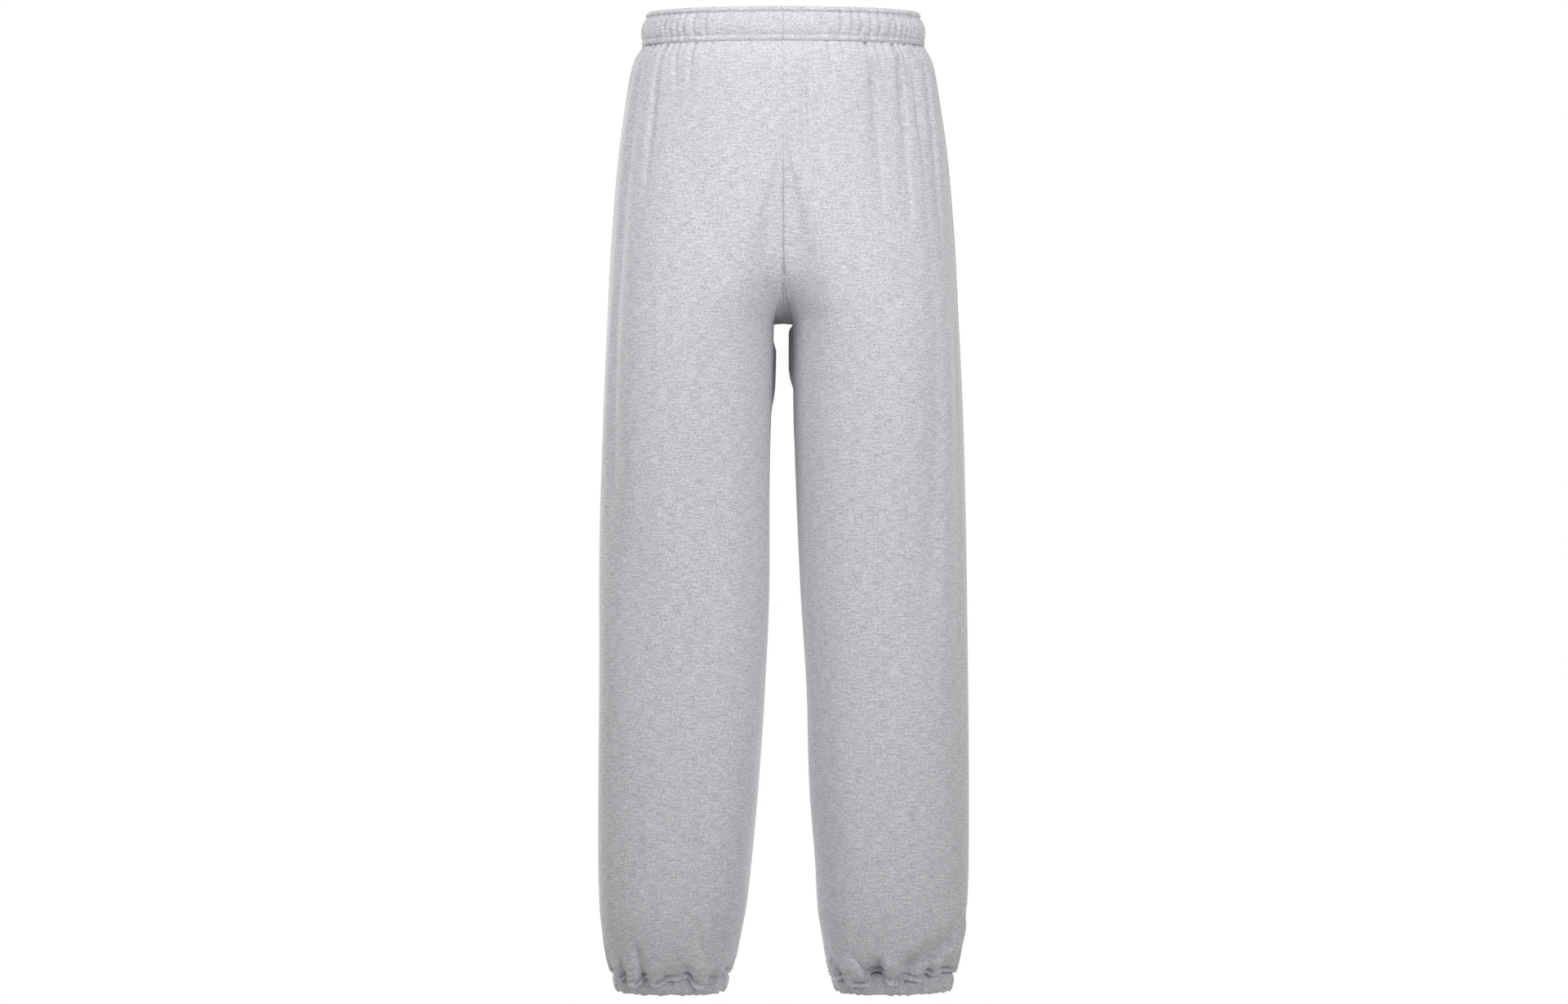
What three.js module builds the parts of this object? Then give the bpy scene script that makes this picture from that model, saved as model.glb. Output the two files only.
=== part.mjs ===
import * as THREE from 'three';

// Jogger sweatpants in grey fleece, filled out as if worn and held at the waist.
// Millimetres, +Z up, front towards -Y. Left and right are the wearer's, so left is +X.
// The origin is the middle of the waist opening, half way up the waistband.

// Driving sizes: walls, the gap left at each seam, and the heights of the main lines
const FLEECE = 2;
const CASING_WALL = 4.4;
const RIM_WALL = 3;
const CUFF_WALL = 3.6;
const SEAM_GAP = 0.3;
const HALF_GAP = SEAM_GAP / 2;
const BAND_TOP = 17.4;
const BAND_BOTTOM = -17.2;
const PANEL_TOP = BAND_BOTTOM - SEAM_GAP;
const CROTCH = -312;
const CUFF_WAVE_STARTS = -962;
const CUFF_TOP = -1004;
const CUFF_BOTTOM = -1021.5;

// The waist dips this much of its depth at the front and rises as much at the back, fading below.
const WAIST_TILT = 0.05;
const WAIST_TILT_ENDS = -160;

// How square the girth is: 2 is an ellipse. The inner side of a leg is squarer than the outer.
const OUTER_ROUNDNESS = 2.1;
const INNER_ROUNDNESS = 2.5;

// How sharply the round of a leg turns into the centre seam above the crotch.
const SEAM_BLEND = 2;

// Half width of a gather at the waistband, how much wider it opens as it runs down, and how near
// the outseam the last gather lies, as a share of the panel.
const GATHER_WIDTH = 3.2;
const GATHER_OPENS = { by: 3.5, over: 60, most: 1.6 };
const BAND_GATHER_WIDTH = 1.9;
const LAST_GATHER = 0.98;

// A gather fades from this share of its length down; the cloth swells between gathers, most where
// full and not at all where gone; relief dies away this near a panel's two seams.
const GATHER_FADES_FROM = 0.2;
const GATHER_ENDS = 1.2;
const SWELL = { height: 0.7, full: 12, gone: 70 };
const PANEL_SEAM_FLAT = { outseam: 8, inner: 12 };

// A fold starts this share of its length above its top and ends as far below its end.
const FOLD_FADE = { before: 0.3, fadeIn: 0.5, until: 1.3, fadeOut: 0.6 };

// Lengths and depths of the back's long and short gathers, each with how far they vary.
const LONG_GATHER = { length: 120, varies: 70, depth: 2.4 };
const SHORT_GATHER = { length: 40, varies: 18, depth: 1.2, depthVaries: 0.4 };
const GATHER_DRIFT = 0.02;

// The casings: how far the band swells between its gathers, where relief dies away at its seams,
// and the upright gathers of a cuff, which open by this share of its height.
const BAND_SWELL = 0.3;
const BAND_SEAM_FLAT = { outseam: 4, centre: 8 };
const CUFF_GATHER = { depth: 0.9, sway: 0.8, swayLength: 17, seamFlat: 6, opensBy: 0.4, inset: 0.6 };

// Girth of one leg panel at each height, as half widths and depths from the middle of the garment.
// side is the outseam, front and back the depths, peak how far out the deepest point lies, and
// innerRight and innerLeft the half gap between the legs, which the crotch bridges at its top.
const LEVEL_COLUMNS = ['z', 'side', 'front', 'back', 'peak', 'innerRight', 'innerLeft'];
const LEVELS = namedRows(LEVEL_COLUMNS, [
  [-17, 149.2, 104, 104, 0, 0, 0],
  [-24, 152.8, 108, 108, 0, 0, 0],
  [-31, 156.6, 111.5, 112, 0, 0, 0],
  [-46, 161.4, 115, 117, 0, 0, 0],
  [-81, 167.5, 119, 127, 0, 0, 0],
  [-133, 174.9, 123, 141, 6, 0, 0],
  [-185, 179.7, 126, 147.5, 24, 0, 0],
  [-245, 183.9, 127, 148.5, 52, 0, 0],
  [-265, 184.9, 126.6, 147.4, 60, 1, 1],
  [-280, 185.6, 126, 145.8, 67, 3.4, 3.4],
  [-292, 186.1, 125.2, 144, 73, 5.8, 5.8],
  [-302, 186.6, 124.4, 142.2, 79, 8, 8],
  [-308, 186.8, 123.8, 141, 82, 9.3, 9.3],
  [CROTCH, 187, 123.4, 140.2, 84, 10, 10],
  [-345, 188.6, 120, 132.5, 94, 10.6, 10.6],
  [-410, 191.4, 113, 119, 101, 13, 11.6],
  [-489, 193.6, 103, 106, 104, 14.8, 14.8],
  [-593, 195.3, 92, 93, 106, 15.8, 19],
  [-697, 195.7, 85, 90, 109, 19.1, 25.2],
  [-801, 196, 81, 90, 112, 26, 28.8],
  [-879, 196.2, 79, 87, 115, 33, 34.7],
  [-931, 194.9, 76, 82, 116.5, 39, 37.3],
  [-957, 192.3, 71, 75, 117, 44.3, 40.8],
  [-983, 188.8, 62, 65, 117.5, 49.5, 44.3],
  [-996, 186.2, 53, 55, 118, 52.5, 46.4],
  [CUFF_TOP, 184, 46, 47, 118, 55, 48.5],
  [-1012, 181, 42, 42, 118, 57.5, 51.5],
  [-1018, 179.2, 39.5, 39.5, 118, 60, 54],
  [CUFF_BOTTOM, 176.5, 37, 37, 118, 63, 57],
]);

// The rise: how deep the centre seam lies at each height, as a share of the depth beside it.
const RISE_COLUMNS = ['z', 'front', 'back'];
const RISE_LEVELS = namedRows(RISE_COLUMNS, [
  [-17, 1, 1],
  [-98, 1, 1],
  [-133, 0.99, 0.99],
  [-185, 0.96, 0.97],
  [-245, 0.9, 0.93],
  [-265, 0.85, 0.88],
  [-280, 0.75, 0.78],
  [-292, 0.6, 0.62],
  [-302, 0.38, 0.4],
  [-308, 0.18, 0.2],
  [CROTCH, 0, 0],
]);

// Gathers of each panel just under the waistband. across is the place from the centre seam, 0,
// to the outseam, 1; drift is how far the trough moves along by its end; length, depth in mm.
const GATHER_COLUMNS = ['across', 'drift', 'length', 'depth'];
const GATHERS = {
  front_right: [
    [0.37, 0, 20, 0.7], [0.42, 0, 22, 0.5], [0.465, -0.02, 55, 1.6], [0.515, 0, 24, 0.7],
    [0.56, -0.05, 60, 1.4], [0.6, 0, 22, 0.8], [0.64, -0.02, 180, 2.8], [0.69, 0, 28, 0.9],
    [0.75, -0.02, 85, 2.4], [0.8, 0.01, 160, 3.4], [0.85, 0, 40, 1.1], [0.9, 0, 70, 1.6],
    [0.935, 0, 36, 1], [0.97, 0, 26, 0.6],
  ],
  front_left: [
    [0.16, 0, 20, 0.4], [0.23, 0, 45, 1.2], [0.3, 0, 24, 0.6], [0.345, 0, 24, 0.6],
    [0.39, 0, 18, 0.8], [0.435, -0.01, 190, 2.8], [0.485, 0, 30, 0.8], [0.53, 0, 22, 0.9],
    [0.6, -0.05, 200, 3], [0.64, 0, 28, 0.8], [0.675, -0.02, 160, 2.6], [0.725, 0, 30, 0.9],
    [0.785, -0.07, 240, 2.7], [0.835, 0, 44, 1.1], [0.88, 0.02, 180, 2.2], [0.93, 0, 60, 1.4],
    [0.97, 0, 28, 0.6],
  ],
  back_right: backGathers(0.7),
  back_left: backGathers(2.9),
};

// Soft folds further down, each a straight trough between two places on its panel.
const FOLD_COLUMNS = ['acrossTop', 'top', 'acrossEnd', 'end', 'depth', 'width'];
const FOLDS = {
  front_right: [
    [0.8, -90, 0.76, -420, 4.5, 14], [0.42, -150, 0.2, -262, 1.8, 18],
    [0.66, -815, 0.36, -870, 1.6, 9], [0.72, -955, 0.7, -1000, 4, 7], [0.28, -975, 0.3, -1000, 2.5, 8],
  ],
  front_left: [
    [0.096, -50, 0.096, -125, 3, 4.5], [0.64, -260, 0.62, -560, 3, 16], [0.83, -300, 0.82, -640, 2.5, 14],
    [0.84, -940, 0.6, -985, 4, 17], [0.36, -972, 0.42, -1000, 5, 8], [0.58, -975, 0.55, -1000, 3, 7],
    [0.04, -150, 0.05, -285, 3.2, 7],
  ],
  back_right: [
    [0.34, -190, 0.1, -300, 4, 16], [0.62, -240, 0.4, -420, 3, 18], [0.84, -120, 0.8, -430, 3, 15],
    [0.3, -600, 0.62, -660, 3, 16], [0.7, -940, 0.64, -1000, 4, 9], [0.34, -960, 0.38, -1000, 3, 8],
  ],
  back_left: [
    [0.36, -175, 0.12, -296, 3.6, 15], [0.58, -255, 0.36, -400, 3.4, 17], [0.8, -130, 0.82, -410, 3, 16],
    [0.66, -590, 0.34, -640, 2.8, 15], [0.6, -948, 0.68, -1000, 4, 9], [0.26, -966, 0.3, -1000, 3, 8],
  ],
};

// Gathers of the waistband halves, as places along the front and back of each half.
const BAND_GATHERS = {
  front_right: [0.41, 0.478, 0.537, 0.58, 0.624, 0.66, 0.705, 0.75, 0.8, 0.85, 0.895, 0.94, 0.98],
  front_left: [
    0.3, 0.362, 0.41, 0.467, 0.518, 0.585, 0.63, 0.672, 0.71, 0.747, 0.785, 0.825, 0.865, 0.905, 0.945,
    0.98,
  ],
  back_right: evenPlaces(21, 0.05, 0.4),
  back_left: evenPlaces(21, 0.05, 1.9),
};

// The waistband casing from its rim down: half width, depth, how strongly it gathers, wall.
const BAND_COLUMNS = ['z', 'side', 'depth', 'gather', 'wall'];
const BAND_LEVELS = namedRows(BAND_COLUMNS, [
  [BAND_TOP, 144.3, 99.4, 0.7, RIM_WALL],
  [15, 146, 101, 0.9, RIM_WALL],
  [12.4, 145, 100, 0.5, RIM_WALL],
  [7, 148.2, 103, 1.3, CASING_WALL],
  [-2, 150.2, 105, 1.5, CASING_WALL],
  [-8, 150, 104.8, 1.1, CASING_WALL],
  [-11.4, 149.2, 104, 0.5, CASING_WALL],
  [-14.4, 150, 104.8, 0.7, CASING_WALL],
  [BAND_BOTTOM, 149.4, 104.2, 0.5, CASING_WALL],
]);

// Wavy line where each leg is gathered into its cuff: place from inseam to outseam, and drop in mm.
const CUFF_LINES = {
  front_right: [
    [0, -6], [0.1, -5.9], [0.17, -4.2], [0.203, 0.6], [0.232, 2.5], [0.3, 3.1], [0.333, 6.6], [0.363, 5.2],
    [0.41, -1], [0.496, -0.7], [0.532, 0.4], [0.567, 3.1], [0.596, 4.8], [0.642, -0.7], [0.668, 1.6],
    [0.728, 5.8], [0.77, -1], [0.824, 2], [0.867, -4.5], [1, -5.5],
  ],
  front_left: [
    [0, -6.5], [0.05, -6], [0.12, -2.1], [0.177, 0.3], [0.22, -1.8], [0.253, 4], [0.307, 3.6],
    [0.348, 2], [0.374, -2.3], [0.406, -4.2], [0.439, -2.3], [0.472, 2.5], [0.508, 5.6], [0.54, 3.1],
    [0.57, -1.6], [0.643, 0.4], [0.69, -6.2], [0.745, -2.7], [0.798, -7.3], [1, -4.5],
  ],
  back_right: [
    [0, -6], [0.09, -4], [0.16, 1.5], [0.27, -3.5], [0.36, 4.5], [0.42, 2], [0.5, -2.5], [0.6, 5.5],
    [0.66, 1], [0.71, -3], [0.8, 3.5], [0.88, -1], [1, -5.5],
  ],
  back_left: [
    [0, -6.5], [0.08, -2], [0.15, 2.5], [0.25, -3], [0.33, 4.5], [0.4, -1], [0.47, -3.5], [0.56, 5.5],
    [0.62, 3], [0.69, -2], [0.78, 4.5], [0.87, -2], [1, -4.5],
  ],
};

// Heights of the rows of the walls, and the width of cloth from one column to the next.
const GATHERED_ROWS = [PANEL_TOP, -25, -36, -54, -80];
const PLAIN_ROWS = [
  -112, -150, -200, -245, -272, -290, -302, -309, CROTCH + 0.3, CROTCH - 0.7, -330, -375, -450, -540,
  -650, -770, -860, -908,
];
const ANKLE_ROWS = [-938, -962, -982, -996, CUFF_TOP];
const CUFF_ROWS = [CUFF_TOP - SEAM_GAP, -1010, -1018, CUFF_BOTTOM];
const PLAIN_STEP = 17.5;
const ANKLE_STEP = 6.8;
const PLAIN_BAND_STEP = 20;
const GATHERED_STEP = 16;
const LEAST_LAST_STEP = 0.4;

function namedRows(columns, rows) {
  return rows.map((row) => Object.fromEntries(columns.map((name, place) => [name, row[place]])));
}

function evenPlaces(count, first, seed) {
  // Uneven but repeatable places from near the centre seam out to the outseam.
  const step = (LAST_GATHER - first) / (count - 1);
  return Array.from({ length: count }, (_, index) => {
    const stray = 0.3 * step * Math.sin(seed + index * 2.4);
    return index === count - 1 ? LAST_GATHER : first + index * step + stray;
  });
}

function backGathers(seed) {
  // The back is gathered all the way, most of it short, every third or fourth gather long.
  return evenPlaces(18, 0.07, seed).map((across, index) => {
    const sway = Math.sin(seed * 3 + index * 1.9);
    const long = index % 4 === 1 || index % 7 === 3;
    const kind = long ? LONG_GATHER : SHORT_GATHER;
    const depth = long ? kind.depth : kind.depth + kind.depthVaries * sway;
    return [across, GATHER_DRIFT * sway, kind.length + kind.varies * sway, depth];
  });
}

function smoothStep(value) {
  const held = Math.min(Math.max(value, 0), 1);
  return held * held * (3 - 2 * held);
}

function slopes(rows, key) {
  // Slopes that keep a curve through the rows from overshooting them.
  const steps = rows.slice(1).map((row, place) => (row[key] - rows[place][key]) / (row.z - rows[place].z));
  return rows.map((row, place) => {
    if (place === 0) return steps[0];
    if (place === rows.length - 1) return steps[place - 1];
    const [before, after] = [steps[place - 1], steps[place]];
    return before * after <= 0 ? 0 : (2 * before * after) / (before + after);
  });
}

function curveThrough(rows, keys) {
  // Returns a function of height that reads every column of the table off a smooth curve.
  const allSlopes = Object.fromEntries(keys.map((key) => [key, slopes(rows, key)]));
  return (z) => {
    const held = Math.min(Math.max(z, rows[rows.length - 1].z), rows[0].z);
    let low = rows.findIndex((row) => row.z <= held);
    low = Math.max(low, 1);
    const [from, to] = [rows[low - 1], rows[low]];
    const span = to.z - from.z;
    const t = (held - from.z) / span;
    const startWeight = (1 + 2 * t) * (1 - t) ** 2;
    const endWeight = t * t * (3 - 2 * t);
    const startSlope = t * (1 - t) ** 2 * span;
    const endSlope = t * t * (t - 1) * span;
    return Object.fromEntries(keys.map((key) => [
      key,
      startWeight * from[key] + endWeight * to[key]
        + startSlope * allSlopes[key][low - 1] + endSlope * allSlopes[key][low],
    ]));
  };
}

const legLevel = curveThrough(LEVELS, LEVEL_COLUMNS.slice(1));
const riseLevel = curveThrough(RISE_LEVELS, RISE_COLUMNS.slice(1));
const bandLevel = curveThrough(BAND_LEVELS, BAND_COLUMNS.slice(1));

function joined(shortOfPeak, shortAtSeam) {
  // The leg's own round and the centre seam's depth as one surface: the nearer to the front wins.
  const legPart = Math.max(shortOfPeak, 1e-9) ** -SEAM_BLEND;
  const seamPart = Math.max(shortAtSeam, 1e-9) ** -SEAM_BLEND;
  return (legPart + seamPart - 1) ** (-1 / SEAM_BLEND);
}

function quarterSection({ side, depth, peak, seamDepth, inner, bridged }) {
  // Line in the quarter x > 0, y < 0 from the outseam, round the front, to the centre seam or inseam.
  const power = 2 / OUTER_ROUNDNESS;
  const innerPower = 2 / INNER_ROUNDNESS;
  const steps = 48;
  const line = [];
  for (let step = 0; step <= steps; step += 1) {
    const turn = (step / steps) * Math.PI / 2;
    line.push(new THREE.Vector2(
      peak + (side - peak) * Math.cos(turn) ** power,
      -(HALF_GAP + (depth - HALF_GAP) * Math.sin(turn) ** power),
    ));
  }
  const peakPlace = line.length - 1;
  if (peak - inner > 1e-6) {
    const shortAtSeam = (depth - seamDepth) / (depth - HALF_GAP);
    for (let step = 1; step <= steps; step += 1) {
      const turn = (step / steps) * Math.PI / 2;
      const short = joined(1 - Math.cos(turn) ** innerPower, shortAtSeam);
      line.push(new THREE.Vector2(
        peak - (peak - inner) * Math.sin(turn) ** innerPower,
        -(depth - (depth - HALF_GAP) * short),
      ));
    }
  }
  if (bridged && inner > HALF_GAP) line.push(new THREE.Vector2(HALF_GAP, -seamDepth));
  return { line, peakPlace, peak };
}

class Section {
  // One level line of a quarter, read by the distance along the cloth from the outseam.
  constructor(shape) {
    const { line, peakPlace, peak } = quarterSection(shape);
    this.line = line;
    this.lengths = [0];
    for (let place = 1; place < line.length; place += 1) {
      this.lengths.push(this.lengths[place - 1] + line[place].distanceTo(line[place - 1]));
    }
    this.total = this.lengths[line.length - 1];
    // Width from the outseam to the middle of the garment, which gathers and folds are placed by.
    this.width = this.lengths[peakPlace] + peak;
  }

  at(reach) {
    const want = Math.min(Math.max(reach, 0), this.total);
    let place = 1;
    while (place < this.lengths.length - 1 && this.lengths[place] < want) place += 1;
    const [from, to] = [this.lengths[place - 1], this.lengths[place]];
    return this.line[place - 1].clone().lerp(this.line[place], (want - from) / (to - from));
  }
}

function readLine(points, across) {
  // Smooth reading of a short list of [place, value] pairs.
  const next = points.findIndex(([place]) => place >= across);
  if (next <= 0) return points[Math.max(next, 0)][1];
  const [[fromPlace, fromValue], [toPlace, toValue]] = [points[next - 1], points[next]];
  return fromValue + (toValue - fromValue) * smoothStep((across - fromPlace) / (toPlace - fromPlace));
}

class LegSurface {
  // The undisturbed cloth of one leg panel, by height and distance from the outseam.
  constructor(name) {
    [this.face, this.leg] = name.split('_');
    this.cuffLine = CUFF_LINES[name];
    this.sections = new Map();
  }

  section(z) {
    const key = z.toFixed(4);
    if (!this.sections.has(key)) {
      const level = legLevel(z);
      const depth = level[this.face];
      const inner = this.leg === 'left' ? level.innerLeft : level.innerRight;
      this.sections.set(key, new Section({
        side: level.side,
        depth,
        peak: Math.max(level.peak, HALF_GAP),
        seamDepth: HALF_GAP + (depth - HALF_GAP) * riseLevel(z)[this.face],
        inner: Math.max(inner, HALF_GAP),
        bridged: z > CROTCH,
      }));
    }
    return this.sections.get(key);
  }

  point(z, reach) {
    const section = this.section(z);
    const { x, y } = section.at(reach);
    const forward = this.face === 'front' ? y : -y;
    const tilt = WAIST_TILT * forward * smoothStep(1 - z / WAIST_TILT_ENDS);
    const wave = z < CUFF_TOP
      ? (z - CUFF_BOTTOM) / (CUFF_TOP - CUFF_BOTTOM)
      : smoothStep((CUFF_WAVE_STARTS - z) / (CUFF_WAVE_STARTS - CUFF_TOP));
    const drop = wave * readLine(this.cuffLine, 1 - Math.min(reach / section.total, 1));
    return new THREE.Vector3(x, y, z + tilt - drop);
  }
}

class BandSurface {
  // The undisturbed outside of one quarter of the waistband.
  constructor(name) {
    [this.face] = name.split('_');
    this.sections = new Map();
  }

  section(z) {
    const key = z.toFixed(4);
    if (!this.sections.has(key)) {
      const { side, depth } = bandLevel(z);
      this.sections.set(key, new Section({ side, depth, peak: HALF_GAP, seamDepth: depth, inner: HALF_GAP }));
    }
    return this.sections.get(key);
  }

  point(z, reach) {
    const { x, y } = this.section(z).at(reach);
    return new THREE.Vector3(x, y, z + WAIST_TILT * (this.face === 'front' ? y : -y));
  }
}

function outwardNormal(surface, z, reach) {
  // Outward direction of a quarter surface, found from its neighbours and kept square at its seams.
  const [rise, run] = [0.5, 1];
  const { total } = surface.section(z);
  const atSeam = reach >= total;
  const reachAt = (height) => (atSeam ? surface.section(height).total : reach);
  const down = surface.point(z - rise, reachAt(z - rise)).sub(surface.point(z + rise, reachAt(z + rise)));
  const [before, after] = [Math.max(reach - run, 0), Math.min(reach + run, total)];
  const along = surface.point(z, before).sub(surface.point(z, after));
  const normal = down.cross(along);
  if (atSeam) normal.x = Math.min(normal.x, 0);
  if (reach === 0 || (atSeam && z < CROTCH)) normal.y = 0;
  return normal.normalize();
}

function trough(distance, width) {
  return Math.exp(-0.5 * (distance / width) ** 2);
}

function panelRelief(name, surface) {
  // How far gathers and folds move the cloth in or out, in mm, on one leg panel.
  const gathers = namedRows(GATHER_COLUMNS, GATHERS[name]);
  const folds = namedRows(FOLD_COLUMNS, FOLDS[name]);
  return (z, reach) => {
    const { total, width: panelWidth } = surface.section(z);
    const { outseam, inner } = PANEL_SEAM_FLAT;
    const seams = smoothStep(reach / outseam) * smoothStep((total - reach) / inner);
    const placeOf = (across) => reach - (1 - across) * panelWidth;
    const below = PANEL_TOP - z;
    let relief = SWELL.height * smoothStep(below / SWELL.full) * (1 - smoothStep(below / SWELL.gone));
    for (const gather of gathers) {
      const down = below / gather.length;
      if (down < GATHER_ENDS) {
        const opened = Math.min(below / GATHER_OPENS.over, GATHER_OPENS.most);
        const fade = 1 - smoothStep(down - GATHER_FADES_FROM);
        const width = GATHER_WIDTH + GATHER_OPENS.by * opened;
        relief -= gather.depth * fade * trough(placeOf(gather.across + gather.drift * down), width);
      }
    }
    for (const fold of folds) {
      const t = (fold.top - z) / (fold.top - fold.end);
      const { before, fadeIn, until, fadeOut } = FOLD_FADE;
      if (t > -before && t < until) {
        const across = fold.acrossTop + (fold.acrossEnd - fold.acrossTop) * t;
        const fade = smoothStep((t + before) / fadeIn) * smoothStep((until - t) / fadeOut);
        relief -= fold.depth * fade * trough(placeOf(across), fold.width);
      }
    }
    return relief * seams;
  };
}

function bandRelief(name, surface) {
  const places = BAND_GATHERS[name];
  return (z, reach) => {
    const { total } = surface.section(z);
    const { outseam, centre } = BAND_SEAM_FLAT;
    const seams = smoothStep(reach / outseam) * smoothStep((total - reach) / centre);
    const pinches = places.map((place) => trough(reach - (1 - place) * total, BAND_GATHER_WIDTH));
    const pinched = pinches.reduce((sum, pinch) => sum + pinch, 0);
    return bandLevel(z).gather * (BAND_SWELL - pinched) * seams;
  };
}

function gatheredReaches(places, total) {
  // Distances from the outseam of every trough and the ridges between them, and a few plain ones.
  const troughs = places.map((place) => (1 - place) * total).reverse();
  const reaches = [0];
  troughs.forEach((reach, index) => {
    const before = index === 0 ? 0 : troughs[index - 1];
    reaches.push((before + reach) / 2, reach);
  });
  let reach = reaches[reaches.length - 1] + GATHERED_STEP / 2;
  while (reach < total - GATHERED_STEP / 2) {
    reaches.push(reach);
    reach += GATHERED_STEP;
  }
  return [...reaches, total];
}

function cuffRelief(surface) {
  // Small upright gathers that the elastic pulls into the cuff.
  const pitch = 2 * ANKLE_STEP;
  const { depth, sway, swayLength, seamFlat, opensBy, inset } = CUFF_GATHER;
  return (z, reach) => {
    const down = (CUFF_TOP - z) / (CUFF_TOP - CUFF_BOTTOM);
    const { total } = surface.section(z);
    const seams = smoothStep(reach / seamFlat) * smoothStep((total - reach) / seamFlat);
    const wave = Math.cos((2 * Math.PI * reach) / pitch + sway * Math.sin(reach / swayLength));
    return depth * wave * seams * smoothStep(down / opensBy) - inset;
  };
}

function steppedReaches(step, total) {
  const count = Math.floor(total / step - LEAST_LAST_STEP);
  return [...Array.from({ length: count + 1 }, (_, place) => place * step), total];
}

class ShellBuilder {
  // Collects the points and triangles of one closed wall.
  constructor() {
    this.points = [];
    this.triangles = [];
  }

  row(z, places, pointAt) {
    const first = this.points.length;
    this.points.push(...places.map(pointAt));
    return { z, places, ids: places.map((_, index) => first + index) };
  }

  // Joins two rows that may hold different numbers of points.
  join(upper, lower) {
    let [high, low] = [0, 0];
    const [highEnd, lowEnd] = [upper.ids.length - 1, lower.ids.length - 1];
    const middle = ({ places }, at) => (at < places.length - 1 ? places[at] + places[at + 1] : Infinity);
    while (high < highEnd || low < lowEnd) {
      const stepHigh = low === lowEnd || middle(upper, high) <= middle(lower, low);
      if (stepHigh) {
        this.triangles.push(upper.ids[high], lower.ids[low], upper.ids[high + 1]);
        high += 1;
      } else {
        this.triangles.push(upper.ids[high], lower.ids[low], lower.ids[low + 1]);
        low += 1;
      }
    }
  }

  geometry(mirrorX, mirrorY) {
    // The wall was built in the quarter x > 0, y < 0; mirrored ones turn their triangles round.
    const position = new Float32Array(this.points.length * 3);
    this.points.forEach((point, index) => {
      point.clone().multiply(new THREE.Vector3(mirrorX, mirrorY, 1)).toArray(position, index * 3);
    });
    const triangles = this.triangles.slice();
    if (mirrorX * mirrorY < 0) {
      for (let index = 0; index < triangles.length; index += 3) {
        [triangles[index + 1], triangles[index + 2]] = [triangles[index + 2], triangles[index + 1]];
      }
    }
    const geometry = new THREE.BufferGeometry();
    geometry.setAttribute('position', new THREE.BufferAttribute(position, 3));
    geometry.setIndex(triangles);
    geometry.computeVertexNormals();
    return geometry;
  }
}

function edgeRow(rows, end) {
  // The points at one end of every row, as a row of its own running down the seam.
  return {
    ids: rows.map((row) => row.ids[end === 'start' ? 0 : row.ids.length - 1]),
    places: rows.map((row) => -row.z),
  };
}

function faceRows(builder, outside, inside) {
  // Skins a wall on both sides from its rows, which run down, and closes its top and bottom.
  for (let row = 1; row < outside.length; row += 1) builder.join(outside[row], outside[row - 1]);
  for (let row = 1; row < inside.length; row += 1) builder.join(inside[row - 1], inside[row]);
  builder.join(outside[0], inside[0]);
  builder.join(inside[inside.length - 1], outside[outside.length - 1]);
}

function clothPoint(surface, z, reach, proud) {
  // A point of the wall, proud of the surface or inside it, kept on its own side of the seams.
  const normalHeight = Math.abs(z - CUFF_TOP) < 1 ? CUFF_TOP : z;
  const normal = outwardNormal(surface, normalHeight, Math.min(reach, surface.section(normalHeight).total));
  const point = surface.point(z, reach).addScaledVector(normal, proud);
  point.x = Math.max(point.x, HALF_GAP);
  point.y = Math.min(point.y, -HALF_GAP);
  return point;
}

function placedOn(face, reach, point) {
  // A point with its place round the body from the outseam, the back's run backwards and mirrored.
  if (face === 'front') return { place: reach, point };
  return { place: -reach, point: new THREE.Vector3(point.x, -point.y, point.z) };
}

function legPanel(name) {
  const surface = new LegSurface(name);
  const relief = panelRelief(name, surface);
  const builder = new ShellBuilder();
  const gatherPlaces = GATHERS[name].map(([across]) => across);
  const stations = [
    ...GATHERED_ROWS.map((z) => ({ z, reaches: gatheredReaches(gatherPlaces, surface.section(z).total) })),
    ...PLAIN_ROWS.map((z) => ({ z, reaches: steppedReaches(PLAIN_STEP, surface.section(z).total) })),
    ...ANKLE_ROWS.map((z) => ({ z, reaches: steppedReaches(ANKLE_STEP, surface.section(z).total) })),
  ];
  const skin = (inset) => stations.map(({ z, reaches }) => (
    builder.row(z, reaches, (reach) => clothPoint(surface, z, reach, relief(z, reach) - inset))
  ));
  const outside = skin(0);
  const inside = skin(FLEECE);
  faceRows(builder, outside, inside);
  builder.join(edgeRow(inside, 'start'), edgeRow(outside, 'start'));
  builder.join(edgeRow(outside, 'end'), edgeRow(inside, 'end'));
  const [face, leg] = name.split('_');
  return builder.geometry(leg === 'left' ? 1 : -1, face === 'front' ? 1 : -1);
}

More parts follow.
